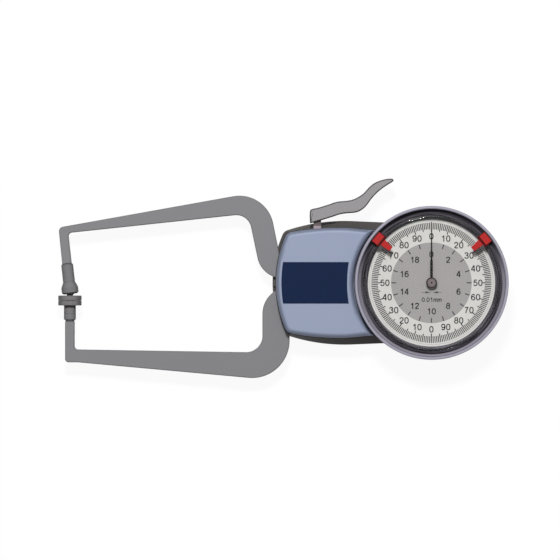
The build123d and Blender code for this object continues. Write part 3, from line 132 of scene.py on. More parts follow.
world = bpy.data.worlds.new("world")
world.use_nodes = True
scene.world = world
sky = world.node_tree
sky.nodes.clear()
sky_spot = put(sky, "TexCoord")["Generated"]
sky_bright_side = Vector((-0.1, 0.5, 1.0)).normalized()
sky_lean = put(sky, "VectorMath", {0: sky_spot, 1: sky_bright_side}, operation="DOT_PRODUCT")
sky_strength = spread(
    sky, sky_lean["Value"], 0.08, 0.95, low=0.03, high=0.28, interpolation_type="SMOOTHSTEP"
)
sky_light = put(sky, "Background", {"Color": (0.96, 0.975, 1.0, 1.0), "Strength": sky_strength})
sky_white = put(sky, "Background", {"Color": (1.0, 1.0, 1.0, 1.0), "Strength": 1.0})
sky_mix = put(
    sky,
    "MixShader",
    {"Fac": seen_rays(sky), 1: sky_light["Background"], 2: sky_white["Background"]},
)
put(sky, "OutputWorld", {"Surface": sky_mix["Shader"]})

table_grey = 0.62
table_glow = 1.045
glow_share = 0.9
table_white = bpy.data.materials.new("table_white")
table_white.use_nodes = True
table_tree = table_white.node_tree
table_tree.nodes.clear()
table_matte = put(table_tree, "BsdfDiffuse", {"Color": (table_grey, table_grey, table_grey, 1.0)})
table_lit = put(table_tree, "Emission", {"Strength": table_glow})
table_share = times(table_tree, seen_rays(table_tree), glow_share)
table_mix = put(
    table_tree, "MixShader", {"Fac": table_share, 1: table_matte["BSDF"], 2: table_lit["Emission"]}
)
put(table_tree, "OutputMaterial", {"Surface": table_mix["Shader"]})
# The table lies a hair below the gauge's back, so that the two don't share a plane.
table_reach = 3.0
table_level = -0.03 * MM
table_corners = [
    (east * table_reach, north * table_reach, table_level)
    for east, north in ((-1, -1), (1, -1), (1, 1), (-1, 1))
]
table = make_piece("table", table_corners, [(0, 1, 2, 3)], table_white)


# Back half of the housing: a die casting under a satin black lacquer, which has a very fine
# orange-peel skin and is rubbed a little lighter along its edges.
def new_group(name, inputs, results):
    """Node group with float inputs and their usual values, and float outputs. Returns it with
    the outputs of its input node and with its output node."""
    group = bpy.data.node_groups.new(name, "ShaderNodeTree")
    for label, value in inputs.items():
        socket = group.interface.new_socket(label, in_out="INPUT", socket_type="NodeSocketFloat")
        socket.default_value = value
    for label in results:
        group.interface.new_socket(label, in_out="OUTPUT", socket_type="NodeSocketFloat")
    return group, group.nodes.new("NodeGroupInput").outputs, group.nodes.new("NodeGroupOutput")


def make_grain():
    """Node group: a fine noise at a given scale gives a tone between low and high values, and
    a height for bumps. A second, coarser noise drifts the tone slowly over the surface."""
    group, given, result = new_group(
        "fine_grain", {"Scale": 900.0, "Low": 0.9, "High": 1.1}, ("Tone", "Height")
    )
    slow_share = 0.35
    spot = put(group, "TexCoord")["Object"]
    fine = put(group, "TexNoise", {"Vector": spot, "Scale": given["Scale"], "Detail": 3.0})["Fac"]
    slow = put(group, "TexNoise", {"Vector": spot, "Scale": 28.0, "Detail": 2.0})["Fac"]
    parts = {0: slow, 1: slow_share, 2: times(group, fine, 1.0 - slow_share)}
    both = put(group, "Math", parts, operation="MULTIPLY_ADD")["Value"]
    tone = spread(group, both, 0.25, 0.75, low=given["Low"], high=given["High"])
    feed(group, result, {"Tone": tone, "Height": fine})
    return group


def make_wear_and_shade_edges():
    """Node group: a mask that is 1 on sharp outer edges, found as the difference between the
    true normal and one rounded over a small radius. Noise breaks it up, unless Even is 1. It
    marks rubbed edges on some finishes and painted edge shade on others."""
    group, given, result = new_group(
        "wear_and_shade_edges", {"Width": 0.3 * MM, "Amount": 0.5, "Even": 0.0}, ("Mask",)
    )
    rounded = put(group, "Bevel", {"Radius": given["Width"]}, samples=4)["Normal"]
    true = put(group, "NewGeometry")["Normal"]
    dot = put(group, "VectorMath", {0: rounded, 1: true}, operation="DOT_PRODUCT")["Value"]
    edge = spread(group, dot, 0.985, 0.86)
    spot = put(group, "TexCoord")["Object"]
    chips = put(group, "TexNoise", {"Vector": spot, "Scale": 700.0, "Detail": 4.0})["Fac"]
    broken = spread(group, chips, 0.4, 0.62, low=given["Even"])
    feed(group, result, {"Mask": times(group, times(group, edge, broken), given["Amount"])})
    return group


fine_grain = make_grain()
wear_and_shade_edges = make_wear_and_shade_edges()


def finish(name, colour, wear_and_shade_tone, rough, grain, bump, wear_and_shade, metal=0.0, shine=0.5):
    """A material of one colour, whose tone and roughness drift with the fine grain and which
    goes over to a second tone on its edges: rubbing on some finishes, painted edge shade on
    others. grain is (scale, low, high), bump is the height in metres and its strength,
    wear_and_shade is (width in metres, amount, evenness)."""
    material = bpy.data.materials.new(name)
    material.use_nodes = True
    tree = material.node_tree
    speck = put(tree, "Group", dict(zip(("Scale", "Low", "High"), grain)), node_tree=fine_grain)
    edge_wear_and_shade = put(tree, "Group", dict(zip(("Width", "Amount", "Even"), wear_and_shade)), node_tree=wear_and_shade_edges)
    toned = put(tree, "VectorMath", {0: colour, "Scale": speck["Tone"]}, operation="SCALE")
    parts = {"Factor": edge_wear_and_shade["Mask"], "A": toned["Vector"], "B": (*wear_and_shade_tone, 1.0)}
    mixed = put(tree, "Mix", parts, data_type="RGBA")
    relief = put(
        tree, "Bump", {"Distance": bump[0], "Strength": bump[1], "Height": speck["Height"]}
    )
    surface = {
        "Base Color": mixed["Result"],
        "Metallic": metal,
        "Roughness": times(tree, speck["Tone"], rough),
        "Specular IOR Level": shine,
        "Normal": relief["Normal"],
    }
    feed(tree, tree.nodes["Principled BSDF"], surface)
    return material


def lay_on(material, *nodes):
    """Puts a finish on every face of the named solid pieces."""
    for node in nodes:
        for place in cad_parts[node].material_slots:
            place.material = material


black_lacquer = finish(
    "black_lacquer", (0.078, 0.07, 0.069), (0.10, 0.095, 0.093), 0.5,
    (1100.0, 0.9, 1.1), (0.05 * MM, 0.25), (0.3 * MM, 0.2, 0.0), shine=0.04,
)
lay_on(black_lacquer, "back_shell")


# Front half of the housing: the same casting in a blue-grey metallic lacquer with a soft sheen, in
# which tiny flakes make the tone shimmer. Its rounded outer edges carry painted shade, and the
# recess under the bezel is painted near black as its shade.
def part_of(tree, coordinate, axis):
    """The X, Y or Z part of the object's coordinate, or of its normal."""
    spot = put(tree, "TexCoord")[coordinate]
    return put(tree, "SeparateXYZ", {"Vector": spot})[axis]


def in_plan(tree):
    """Place in plan, from the dial's axis, and its distance from there."""
    spot = put(tree, "TexCoord")["Object"]
    plan = put(tree, "VectorMath", {0: spot, 1: (1.0, 1.0, 0.0)}, operation="MULTIPLY")["Vector"]
    return plan, put(tree, "VectorMath", {0: plan}, operation="LENGTH")["Value"]


def paint_over(material, tone, mask):
    """Takes the base colour over to another tone where the mask is 1."""
    tree = material.node_tree
    shader = tree.nodes["Principled BSDF"]
    base = shader.inputs["Base Color"].links[0].from_socket
    parts = {"Factor": mask, "A": base, "B": (*tone, 1.0)}
    feed(tree, shader, {"Base Color": put(tree, "Mix", parts, data_type="RGBA")["Result"]})


# The darker tone on its sharp edges is painted shade.
blue_lacquer = finish(
    "blue_lacquer", (0.208, 0.241, 0.332), (0.17, 0.198, 0.272), 0.6,
    (1500.0, 0.95, 1.05), (0.03 * MM, 0.15), (0.6 * MM, 0.5, 1.0), metal=0.3,
)
shell_tree = blue_lacquer.node_tree
shell_reach = in_plan(shell_tree)[1]
# Painted shade: the rounded outer edges outside the collar, found by the direction they face, are
# painted darker.
edge_shade_slope = spread(shell_tree, part_of(shell_tree, "Normal", "Z"), 0.985, 0.85, high=0.45)
edge_shade_place = spread(shell_tree, shell_reach, 34.4 * MM, 35.0 * MM)
paint_over(blue_lacquer, (0.1, 0.115, 0.155), times(shell_tree, edge_shade_slope, edge_shade_place))
# Painted shade: the recess behind the bezel's edge is painted near black.
recess_shade_reach = spread(shell_tree, shell_reach, 33.0 * MM, 32.85 * MM)
recess_shade_depth = spread(shell_tree, part_of(shell_tree, "Object", "Z"), 21.7 * MM, 21.3 * MM)
paint_over(blue_lacquer, (0.012, 0.012, 0.016), times(shell_tree, recess_shade_reach, recess_shade_depth))
lay_on(blue_lacquer, "front_shell")

# Seal in the housing's joint, the grommet of the lever's slot and the bezel's O-ring: black
# rubber, dull and slightly dusty.
black_rubber = finish(
    "black_rubber", (0.018, 0.018, 0.019), (0.05, 0.05, 0.05), 0.75,
    (800.0, 0.8, 1.2), (0.05 * MM, 0.4), (0.3 * MM, 0.3, 0.0),
)
lay_on(black_rubber, "shell_seal", "slot_grommet", "bezel_o_ring")

# Plate on the front: dark blue enamel on thin metal, let into the front half. It is plain and
# has a smooth, nearly even skin.
blue_enamel = finish(
    "blue_enamel", (0.0035, 0.013, 0.048), (0.003, 0.009, 0.032), 0.4,
    (400.0, 0.94, 1.06), (0.01 * MM, 0.15), (0.15 * MM, 0.5, 1.0), shine=0.06,
)
lay_on(blue_enamel, "label_plate")

# Arms: flat plates of light metal, cut to their outline, eased along the edges and bead
# blasted to an even matte grey.
blasted_grey = finish(
    "blasted_grey", (0.182, 0.18, 0.19), (0.22, 0.22, 0.23), 0.6,
    (2200.0, 0.92, 1.08), (0.04 * MM, 0.35), (0.25 * MM, 0.2, 0.0), metal=0.15, shine=0.25,
)
lay_on(blasted_grey, "fixed_arm", "moving_arm")


# Contacts, sleeves and the ball socket: turned and lapped hard steel, with painted shade on their
# sides and sharp edges, which face away from the light.
def shade_sides(material, tone, start, end, share, axis="Z"):
    """Paints shade: takes the base colour over to a tone by a share, as a part of the normal
    goes from the start to the end value. Z is 1 on faces that look straight up."""
    tree = material.node_tree
    mask = spread(tree, part_of(tree, "Normal", axis), start, end, high=share)
    paint_over(material, tone, mask)


turned_steel = finish(
    "turned_steel", (0.182, 0.18, 0.187), (0.07, 0.07, 0.07), 0.4,
    (1600.0, 0.92, 1.08), (0.02 * MM, 0.2), (0.35 * MM, 0.7, 1.0), shine=0.12,
)
lapped_steel = finish(
    "lapped_steel", (0.185, 0.178, 0.18), (0.03, 0.03, 0.03), 0.35,
    (1600.0, 0.93, 1.07), (0.015 * MM, 0.15), (0.35 * MM, 0.6, 1.0), shine=0.12,
)
# Painted shade on the sides, by the direction they face.
shade_sides(turned_steel, (0.05, 0.05, 0.05), 0.8, 0.3, 0.8)
shade_sides(lapped_steel, (0.03, 0.03, 0.03), 0.85, 0.35, 0.8)
lay_on(turned_steel, "lower_sleeve", "upper_sleeve", "ball_socket")
lay_on(lapped_steel, "lower_contact", "swivel_disc")

# Thumb lever: a casting with a satin nickel plate and fine grinding marks, with painted shade round
# its upper edge, on a steel stem that carries the lever's painted shadow. Its outline is in
# millimetres and runs clockwise.
satin_plate = finish(
    "satin_plate", (0.157, 0.151, 0.155), (0.05, 0.045, 0.046), 0.45,
    (1300.0, 0.92, 1.08), (0.03 * MM, 0.25), (0.3 * MM, 0.3, 1.0), metal=0.35,
)
# Painted shade: the rim rows round the lever's upper edge get this dark finish.
lever_edge_shade = finish(
    "lever_edge_shade", (0.055, 0.05, 0.052), (0.05, 0.045, 0.046), 0.5,
    (1300.0, 0.9, 1.1), (0.03 * MM, 0.25), (0.2 * MM, 0.2, 0.0), shine=0.2,
)
lever_top_line = [
    (-51.55, 30.39), (-50.66, 31.37), (-47.94, 32.0), (-44.03, 33.19), (-40.12, 34.47),
    (-36.21, 34.89), (-33.83, 35.28), (-31.49, 36.25), (-29.16, 37.74), (-27.58, 39.31),
    (-26.01, 41.0), (-23.67, 42.71), (-20.53, 43.86), (-18.19, 44.29), (-16.62, 44.29),
]
lever_bottom_line = [
    (-15.94, 43.69), (-16.45, 42.97), (-18.19, 41.91), (-20.53, 40.33), (-22.91, 38.38),
    (-25.25, 35.87), (-26.82, 33.7), (-28.35, 31.92), (-30.3, 30.6), (-32.3, 29.92),
    (-36.21, 29.58), (-38.93, 29.11), (-42.46, 27.97), (-46.37, 26.75), (-49.9, 25.75),
    (-51.0, 25.45), (-51.55, 25.95),
]
span_steps = 6


def drawn(closed, points):
    """Smooth line through points: between two of them it is Catmull and Rom's cubic, half of
    (2b + (c - a)t + (2a - 5b + 4c - d)t^2 + (3b - a - 3c + d)t^3) for neighbours a, b, c, d."""
    points = np.array(points)
    if len(points) == 2:
        return points
    if closed:
        a, b, c, d = (np.roll(points, shift, axis=0)[:, None] for shift in (1, 0, -1, -2))
    else:
        before, beyond = 2 * points[:1] - points[1:2], 2 * points[-1:] - points[-2:-1]
        led = np.concatenate((before, points, beyond))
        a, b, c, d = (led[shift : len(points) - 1 + shift][:, None] for shift in range(4))
    t = (np.arange(span_steps) / span_steps)[None, :, None]
    line = 0.5 * (
        2 * b + (c - a) * t + (2 * a - 5 * b + 4 * c - d) * t**2 + (3 * b - a - 3 * c + d) * t**3
    )
    line = line.reshape(-1, 2)
    return line if closed else np.concatenate((line, points[-1:]))


def grid_faces(rows, spots, rows_close=False, spots_close=True):
    """Quads over rows of points: each takes a point, the same spot in the next row, the spot
    beside that and the one beside its own. Where they close, the last joins the first."""
    row, spot = np.meshgrid(
        np.arange(rows if rows_close else rows - 1),
        np.arange(spots if spots_close else spots - 1),
        indexing="ij",
    )
    after, beside = (row + 1) % rows, (spot + 1) % spots
    corners = ((row, spot), (after, spot), (after, beside), (row, beside))
    return np.stack([line * spots + place for line, place in corners], axis=-1).reshape(-1, 4)


def cushion(outline, levels, insets):
    """Plate with rounded edges: at each level the outline is moved inwards by an inset along
    its normal, which is the direction of the line turned a quarter to the left. The outline
    runs clockwise as seen from above, through the points as Catmull and Rom's cubic. Both its
    flat sides are closed by strips across, from the n-th point to the n-th from the end."""
    line = drawn(True, outline)
    run = np.roll(line, -1, axis=0) - np.roll(line, 1, axis=0)
    run /= np.linalg.norm(run, axis=1, keepdims=True)
    out = np.stack((-run[:, 1], run[:, 0]), axis=1)
    spots, rows = len(line), len(levels)
    plan = line[None] - np.array(insets)[:, None, None] * out[None]
    height = np.array(levels)[:, None, None] + np.zeros((rows, spots, 1))
    vertices = np.concatenate((plan, height), axis=-1).reshape(-1, 3) * MM
    near = np.arange(spots // 2 - 1)
    strips = np.stack((near, near + 1, spots - 2 - near, spots - 1 - near), axis=-1)
    top_strips = (rows - 1) * spots + strips[:, ::-1]
    return vertices, np.concatenate((grid_faces(rows, spots), strips, top_strips)).tolist()


lever_levels = (9.2, 9.35, 9.7, 17.1, 17.3, 17.48, 17.6)
lever_insets = (0.5, 0.15, 0.0, 0.0, 0.06, 0.22, 0.5)
lever_rim_rows = (3, 4, 5)
lever_outline = lever_top_line + lever_bottom_line
lever_casting = make_piece(
    "lever_casting", *cushion(lever_outline, lever_levels, lever_insets), satin_plate, lever_edge_shade
)
lever_faces = lever_casting.data.polygons
lever_rows = np.arange(len(lever_faces)) // (span_steps * len(lever_outline))
lever_faces.foreach_set("material_index", np.isin(lever_rows, lever_rim_rows).astype(np.int32))
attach(lever_casting, "arm")
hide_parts("thumb_lever")


def colour_ramp(material, place, stops):
    """Makes the base colour run through stops of (place, tone) as a value goes from 0 to 1. A
    new ramp has two stops, and gets as many more as it needs."""
    tree = material.node_tree
    ramp = tree.nodes.new("ShaderNodeValToRGB")
    for _ in stops[2:]:
        ramp.color_ramp.elements.new(0.5)
    for element, (spot, tone) in zip(ramp.color_ramp.elements, stops):
        element.position = spot
        element.color = (*tone, 1.0)
    feed(tree, ramp, {"Fac": place})
    feed(tree, tree.nodes["Principled BSDF"], {"Base Color": ramp.outputs["Color"]})


# The stem's colour is the lever's painted shadow along y: near black under the lever, fading to a
# lighter tone out of its shadow.
stem_painted_shadow = finish(
    "stem_painted_shadow", (0.03, 0.022, 0.023), (0.03, 0.022, 0.023), 0.45,
    (1400.0, 0.9, 1.1), (0.03 * MM, 0.3), (0.2 * MM, 0.2, 0.0), metal=0.4,
)
stem_tree = stem_painted_shadow.node_tree
stem_tone_and_shadow = (
    (0.355, (0.2, 0.16, 0.19)),
    (0.385, (0.06, 0.045, 0.045)),
    (0.55, (0.045, 0.032, 0.033)),
    (0.66, (0.012, 0.008, 0.008)),
)
stem_place = spread(stem_tree, part_of(stem_tree, "Object", "Y"), 22.0 * MM, 28.0 * MM)
colour_ramp(stem_painted_shadow, stem_place, stem_tone_and_shadow)
lay_on(stem_painted_shadow, "lever_stem")

# Screws: blackened steel with round socket heads, rubbed bright along their edges by the key.
# The housing's are turned in from the back, and the others before the front half goes on.
dark_steel = finish(
    "dark_steel", (0.10, 0.10, 0.102), (0.4, 0.4, 0.4), 0.4,
    (1400.0, 0.88, 1.12), (0.03 * MM, 0.3), (0.2 * MM, 0.5, 0.0), metal=0.7,
)
lay_on(
    dark_steel,
    "housing_screws", "fixed_arm_screws", "hub_screws", "stem_screws", "plate_screws",
    "bridge_screws",
)

# Pivot and movement: ground steel pins and arbors, brass plates and wheels, bronze bushes,
# ruby bearings.
ground_steel = finish(
    "ground_steel", (0.45, 0.45, 0.455), (0.7, 0.7, 0.7), 0.22,
    (1500.0, 0.93, 1.07), (0.01 * MM, 0.15), (0.1 * MM, 0.4, 0.0), metal=0.95,
)
lay_on(
    ground_steel,
    "arm_hub", "pivot_pin", "pivot_circlip", "return_spring", "sector_spring_pin",
    "housing_spring_pin", "stop_pins", "first_arbor", "centre_arbor", "idler_stud",
    "hairspring_stud", "bezel_snap_ring",
)
brass = finish(
    "brass", (0.62, 0.43, 0.16), (0.8, 0.62, 0.3), 0.3,
    (1300.0, 0.92, 1.08), (0.015 * MM, 0.2), (0.12 * MM, 0.5, 0.0), metal=0.95,
)
lay_on(
    brass,
    "gear_sector", "movement_plate", "movement_bridge", "bridge_pillars", "first_wheel",
    "idler_wheel", "hour_wheel", "hairspring_collet",
)
bronze = finish(
    "bronze", (0.45, 0.26, 0.12), (0.6, 0.4, 0.2), 0.35,
    (1300.0, 0.9, 1.1), (0.02 * MM, 0.2), (0.12 * MM, 0.5, 0.0), metal=0.9,
)
lay_on(bronze, "pivot_bushes", "hairspring")
ruby = finish(
    "ruby", (0.45, 0.01, 0.06), (0.7, 0.1, 0.15), 0.08,
    (600.0, 0.9, 1.1), (0.005 * MM, 0.1), (0.05 * MM, 0.3, 0.0),
)
lay_on(ruby, "bearing_jewels")

# Dial plate: a thin metal disc, sprayed and baked with white enamel, which lies very slightly
# uneven.
dial_enamel = finish(
    "dial_enamel", (0.535, 0.523, 0.5), (0.53, 0.52, 0.5), 0.55,
    (700.0, 0.975, 1.025), (0.01 * MM, 0.1), (0.1 * MM, 0.2, 0.0),
)
lay_on(dial_enamel, "dial_plate")

# Print on the dial: a grey disc with its rim line, and over it ink in a soft black. Each layer
# is a film a few hundredths of a millimetre thick, raised by screen printing.
print_level = 21.4 * MM
film = 0.02 * MM
grey_ink = finish(
    "grey_ink", (0.262, 0.248, 0.244), (0.262, 0.248, 0.244), 0.6,
    (800.0, 0.97, 1.03), (0.01 * MM, 0.1), (0.05 * MM, 0.1, 0.0),
)
soft_ink = finish(
    "soft_ink", (0.012, 0.012, 0.012), (0.012, 0.012, 0.012), 0.55,
    (900.0, 0.9, 1.1), (0.01 * MM, 0.1), (0.05 * MM, 0.0, 0.0), shine=0.05,
)
rim_ink = finish(
    "rim_ink", (0.24, 0.235, 0.23), (0.3, 0.3, 0.3), 0.55,
    (900.0, 0.9, 1.1), (0.01 * MM, 0.1), (0.05 * MM, 0.1, 0.0),
)


def place_print(name, vertices, faces, material):
    """A printed piece from a mesh: it turns with the bezel, as the dial plate under it does."""
    piece = make_piece(name, vertices, faces, material)
    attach(piece, "bezel")


def turned(profile, steps):
    """Ring from a closed profile of (radius, height) points, listed anticlockwise as seen with
    the radius to the right and the height up: the point at angle a is (radius cos a,
    radius sin a, height), and each profile edge is swept to the next angle."""
    radius, height = np.array(profile).T
    angle = np.linspace(0.0, 2 * pi, steps, endpoint=False)[:, None]
    vertices = np.stack(
        (radius * np.cos(angle), radius * np.sin(angle), height + 0.0 * angle), axis=-1
    ).reshape(-1, 3)
    return vertices, grid_faces(steps, len(radius), rows_close=True).tolist()


def place_ring(name, inner, outer, thickness, steps, material):
    """A flat printed ring between two radii."""
    low, high = print_level, print_level + thickness
    profile = [(inner, low), (outer, low), (outer, high), (inner, high)]
    place_print(name, *turned(profile, steps), material)


def bars(turns, inner, outer, width, low, high):
    """Straight ticks: each is a box between two radii at a turn in radians clockwise from
    12 o'clock. Its corners are radius times (sin, cos) plus half its width times (-cos, sin)."""
    turns, inner, outer, width = np.broadcast_arrays(turns, inner, outer, width)
    along = np.stack((np.sin(turns), np.cos(turns)), axis=-1)
    across = np.stack((-np.cos(turns), np.sin(turns)), axis=-1)
    ends = np.stack((inner, outer, outer, inner), axis=-1)
    sides = np.array([-0.5, -0.5, 0.5, 0.5]) * width[:, None]
    plan = ends[..., None] * along[:, None] + sides[..., None] * across[:, None]
    boxes = len(turns)
    floor = np.concatenate((plan, np.full((boxes, 4, 1), low)), axis=-1)
    roof = np.concatenate((plan, np.full((boxes, 4, 1), high)), axis=-1)
    vertices = np.concatenate((floor, roof), axis=1).reshape(-1, 3)
    one_box = np.array(
        [(0, 3, 2, 1), (4, 5, 6, 7), (0, 1, 5, 4), (1, 2, 6, 5), (2, 3, 7, 6), (3, 0, 4, 7)]
    )
    faces = (one_box[None] + 8 * np.arange(boxes)[:, None, None]).reshape(-1, 4)
    return vertices, faces.tolist()


disc_hole = 1.7 * MM
disc_radius = 17.0 * MM
disc_steps = 192
rim_inside = disc_radius - 0.08 * MM
rim_outside = disc_radius + 0.12 * MM
edge_line_inside = 26.17 * MM
edge_line_outside = 26.27 * MM
edge_line_steps = 256
place_ring("dial_disc", disc_hole, disc_radius, film, disc_steps, grey_ink)
place_ring("dial_disc_rim", rim_inside, rim_outside, 1.5 * film, disc_steps, rim_ink)
place_ring("dial_edge_line", edge_line_inside, edge_line_outside, film, edge_line_steps, rim_ink)

# The outer scale has 200 divisions. Its ticks are longest at the tens, then at the fives. The
# inner scale has 20, printed on the grey disc up to its rim.
divisions = 200
division = np.arange(divisions)
tick_turns = division * 2 * pi / divisions
tick_kind = np.where(division % 10 == 0, 0, np.where(division % 5 == 0, 1, 2))
tick_inner = np.array([21.5, 21.9, 22.7])[tick_kind] * MM
tick_width = np.array([0.42, 0.41, 0.39])[tick_kind] * MM
tick_outer = 25.5 * MM
place_print(
    "outer_ticks",
    *bars(tick_turns, tick_inner, tick_outer, tick_width, print_level, print_level + film),
    soft_ink,
)
disc_print, disc_print_top = print_level + film, print_level + 2 * film
short_divisions = 20
short_turns = np.arange(short_divisions) * 2 * pi / short_divisions
short_tick_inner = 15.0 * MM
short_tick_width = 0.42 * MM
place_print(
    "inner_ticks",
    *bars(
        short_turns, short_tick_inner, disc_radius, short_tick_width, disc_print, disc_print_top
    ),
    soft_ink,
)

# Numbers of both scales, upright, and the note of what one division is worth: plain strokes
# of one width. A sign is drawn in a box one high; each stroke is (closed, points of its line).
signs = {
    "0": [
        (True, [(0.34, 0.93), (0.15, 0.83), (0.08, 0.5), (0.15, 0.17), (0.34, 0.07), (0.53, 0.17),
                (0.6, 0.5), (0.53, 0.83)]),
    ],
    "1": [
        (False, [(0.15, 0.71), (0.28, 0.79), (0.42, 0.96)]),
        (False, [(0.42, 1.0), (0.42, 0.0)]),
    ],
    "2": [
        (False, [(0.08, 0.7), (0.14, 0.86), (0.34, 0.93), (0.54, 0.86), (0.58, 0.7), (0.46, 0.5),
                 (0.2, 0.25), (0.09, 0.1)]),
        (False, [(0.04, 0.07), (0.62, 0.07)]),
    ],
    "3": [
        (False, [(0.09, 0.74), (0.17, 0.88), (0.34, 0.93), (0.51, 0.86), (0.54, 0.72), (0.44, 0.58),
                 (0.26, 0.53)]),
        (False, [(0.3, 0.54), (0.5, 0.49), (0.6, 0.31), (0.52, 0.13), (0.33, 0.07), (0.15, 0.12),
                 (0.07, 0.27)]),
    ],
    "4": [
        (False, [(0.44, 0.98), (0.25, 0.64), (0.06, 0.3)]),
        (False, [(0.02, 0.28), (0.65, 0.28)]),
        (False, [(0.48, 1.0), (0.48, 0.0)]),
    ],
    "5": [
        (False, [(0.15, 0.93), (0.57, 0.93)]),
        (False, [(0.17, 0.95), (0.14, 0.72), (0.11, 0.49)]),
        (False, [(0.11, 0.5), (0.3, 0.62), (0.52, 0.54), (0.6, 0.34), (0.52, 0.14), (0.33, 0.07),
                 (0.15, 0.12), (0.07, 0.26)]),
    ],
    "6": [
        (False, [(0.57, 0.75), (0.49, 0.89), (0.35, 0.93), (0.17, 0.84), (0.09, 0.6), (0.08, 0.35),
                 (0.17, 0.13), (0.35, 0.07), (0.53, 0.14), (0.6, 0.33), (0.52, 0.52), (0.36, 0.6),
                 (0.19, 0.54), (0.1, 0.4)]),
    ],
    "7": [
        (False, [(0.06, 0.93), (0.62, 0.93)]),
        (False, [(0.59, 0.92), (0.42, 0.68), (0.29, 0.36), (0.24, 0.0)]),
    ],
    "8": [
        (True, [(0.34, 0.93), (0.18, 0.88), (0.12, 0.74), (0.18, 0.6), (0.34, 0.54), (0.5, 0.6),
                (0.56, 0.74), (0.5, 0.88)]),
        (True, [(0.34, 0.54), (0.15, 0.47), (0.07, 0.3), (0.15, 0.13), (0.34, 0.07), (0.53, 0.13),
                (0.61, 0.3), (0.53, 0.47)]),
    ],
    "9": [
        (False, [(0.1, 0.25), (0.19, 0.11), (0.33, 0.07), (0.51, 0.16), (0.59, 0.4), (0.6, 0.65),
                 (0.51, 0.87), (0.33, 0.93), (0.15, 0.86), (0.08, 0.67), (0.16, 0.48), (0.32, 0.4),
                 (0.49, 0.46), (0.58, 0.6)]),
    ],
    ".": [(False, [(0.16, 0.0), (0.16, 0.15)])],
    "m": [
        (False, [(0.1, 0.72), (0.1, 0.0)]),
        (False, [(0.1, 0.5), (0.2, 0.65), (0.36, 0.66), (0.46, 0.52), (0.47, 0.0)]),
        (False, [(0.47, 0.5), (0.57, 0.65), (0.73, 0.66), (0.83, 0.52), (0.84, 0.0)]),
    ],
}
sign_steps = {".": 0.34, "m": 0.96}
digit_step = 0.775
digit_width = 0.68
layer_drop = 0.12


def stroke(closed, points, width, low, high):
    """Flat bar carried along a line: at each point its corners lie half the width to the left
    and right of the line, at the low and the high level."""
    line = drawn(closed, points)
    if closed:
        run = np.roll(line, -1, axis=0) - np.roll(line, 1, axis=0)
    else:
        run = np.gradient(line, axis=0)
    run /= np.linalg.norm(run, axis=1, keepdims=True)
    side = np.stack((-run[:, 1], run[:, 0]), axis=1) * width / 2
    left, right = line + side, line - side
    section = [(right, low), (right, high), (left, high), (left, low)]
    vertices = np.stack(
        [np.column_stack((edge, np.full(len(line), level))) for edge, level in section], axis=1
    ).reshape(-1, 3)
    faces = grid_faces(len(line), 4, rows_close=closed)
    if not closed:
        last = 4 * (len(line) - 1)
        faces = np.concatenate((faces, [[0, 1, 2, 3], [last + 3, last + 2, last + 1, last]]))
    return vertices, faces


def clock(radius, turn):
    """Plan point at a turn in degrees clockwise from 12 o'clock."""
    return radius * sin(radians(turn)), radius * cos(radians(turn))


def place_words(name, texts, height, width, level):
    """Lines of text in one piece, each centred on its place. Neighbouring strokes differ in
    thickness by a hair, so that no two faces share a plane."""
    vertices, faces, base = [], [], 0
    for text, place in texts:
        steps = [sign_steps.get(sign, digit_step) for sign in text]
        start = -(sum(steps) - (digit_step - digit_width)) / 2
        for sign, step in zip(text, steps):
            for layer, (closed, points) in enumerate(signs[sign]):
                top = level + film * (1.0 - layer_drop * layer)
                flat, sides = stroke(closed, points, width / height, level, top)
                flat[:, :2] = (flat[:, :2] + (start, -0.5)) * height + place
                vertices.append(flat)
                faces.append(sides + base)
                base += len(flat)
            start += step
    place_print(name, np.concatenate(vertices), np.concatenate(faces).tolist(), soft_ink)


outer_number_radius = 19.75 * MM
inner_number_radius = 12.1 * MM
note_place = (0.05 * MM, -7.15 * MM)
place_words(
    "outer_numbers",
    [(str(10 * n % 100), clock(outer_number_radius, 18 * n)) for n in range(20)],
    height=2.7 * MM, width=0.45 * MM, level=print_level,
)
place_words(
    "inner_numbers",
    [(str(2 * n), clock(inner_number_radius, 36 * n)) for n in range(10)],
    height=2.6 * MM, width=0.46 * MM, level=disc_print,
)
place_words(
    "division_note", [("0.01mm", note_place)], height=1.85 * MM, width=0.33 * MM, level=disc_print
)


# Two small arrows under the hub that point at each other, printed with the note: a line and a
# head each. The right one's outline runs anticlockwise.
def plate(outline, low, high):
    """Flat plate from an outline in plan that runs anticlockwise as seen from above."""
    floor, roof = (np.column_stack((outline, np.full(len(outline), z))) for z in (low, high))
    spot = np.arange(len(outline))
    walls = grid_faces(2, len(outline))[:, [0, 3, 2, 1]].tolist()
    return np.concatenate((floor, roof)), [spot[::-1], spot + len(outline), *walls]


arrow_middle = (0.15 * MM, -4.05 * MM)
arrow_outline = np.array(
    [(4.2, 0.08), (2.6, 0.08), (2.6, 0.42), (0.55, 0.0), (2.6, -0.42), (2.6, -0.08), (4.2, -0.08)]
) * MM
arrow_vertices, arrow_faces = [], []
for side in (-1, 1):
    arrow_plan = (arrow_outline * (side, 1.0))[::side] + arrow_middle
    arrow_part, part_faces = plate(arrow_plan, disc_print, disc_print_top)
    arrow_base = sum(len(part) for part in arrow_vertices)
    arrow_faces += [(np.array(face) + arrow_base).tolist() for face in part_faces]
    arrow_vertices.append(arrow_part)
place_print("dial_arrows", np.concatenate(arrow_vertices), arrow_faces, soft_ink)

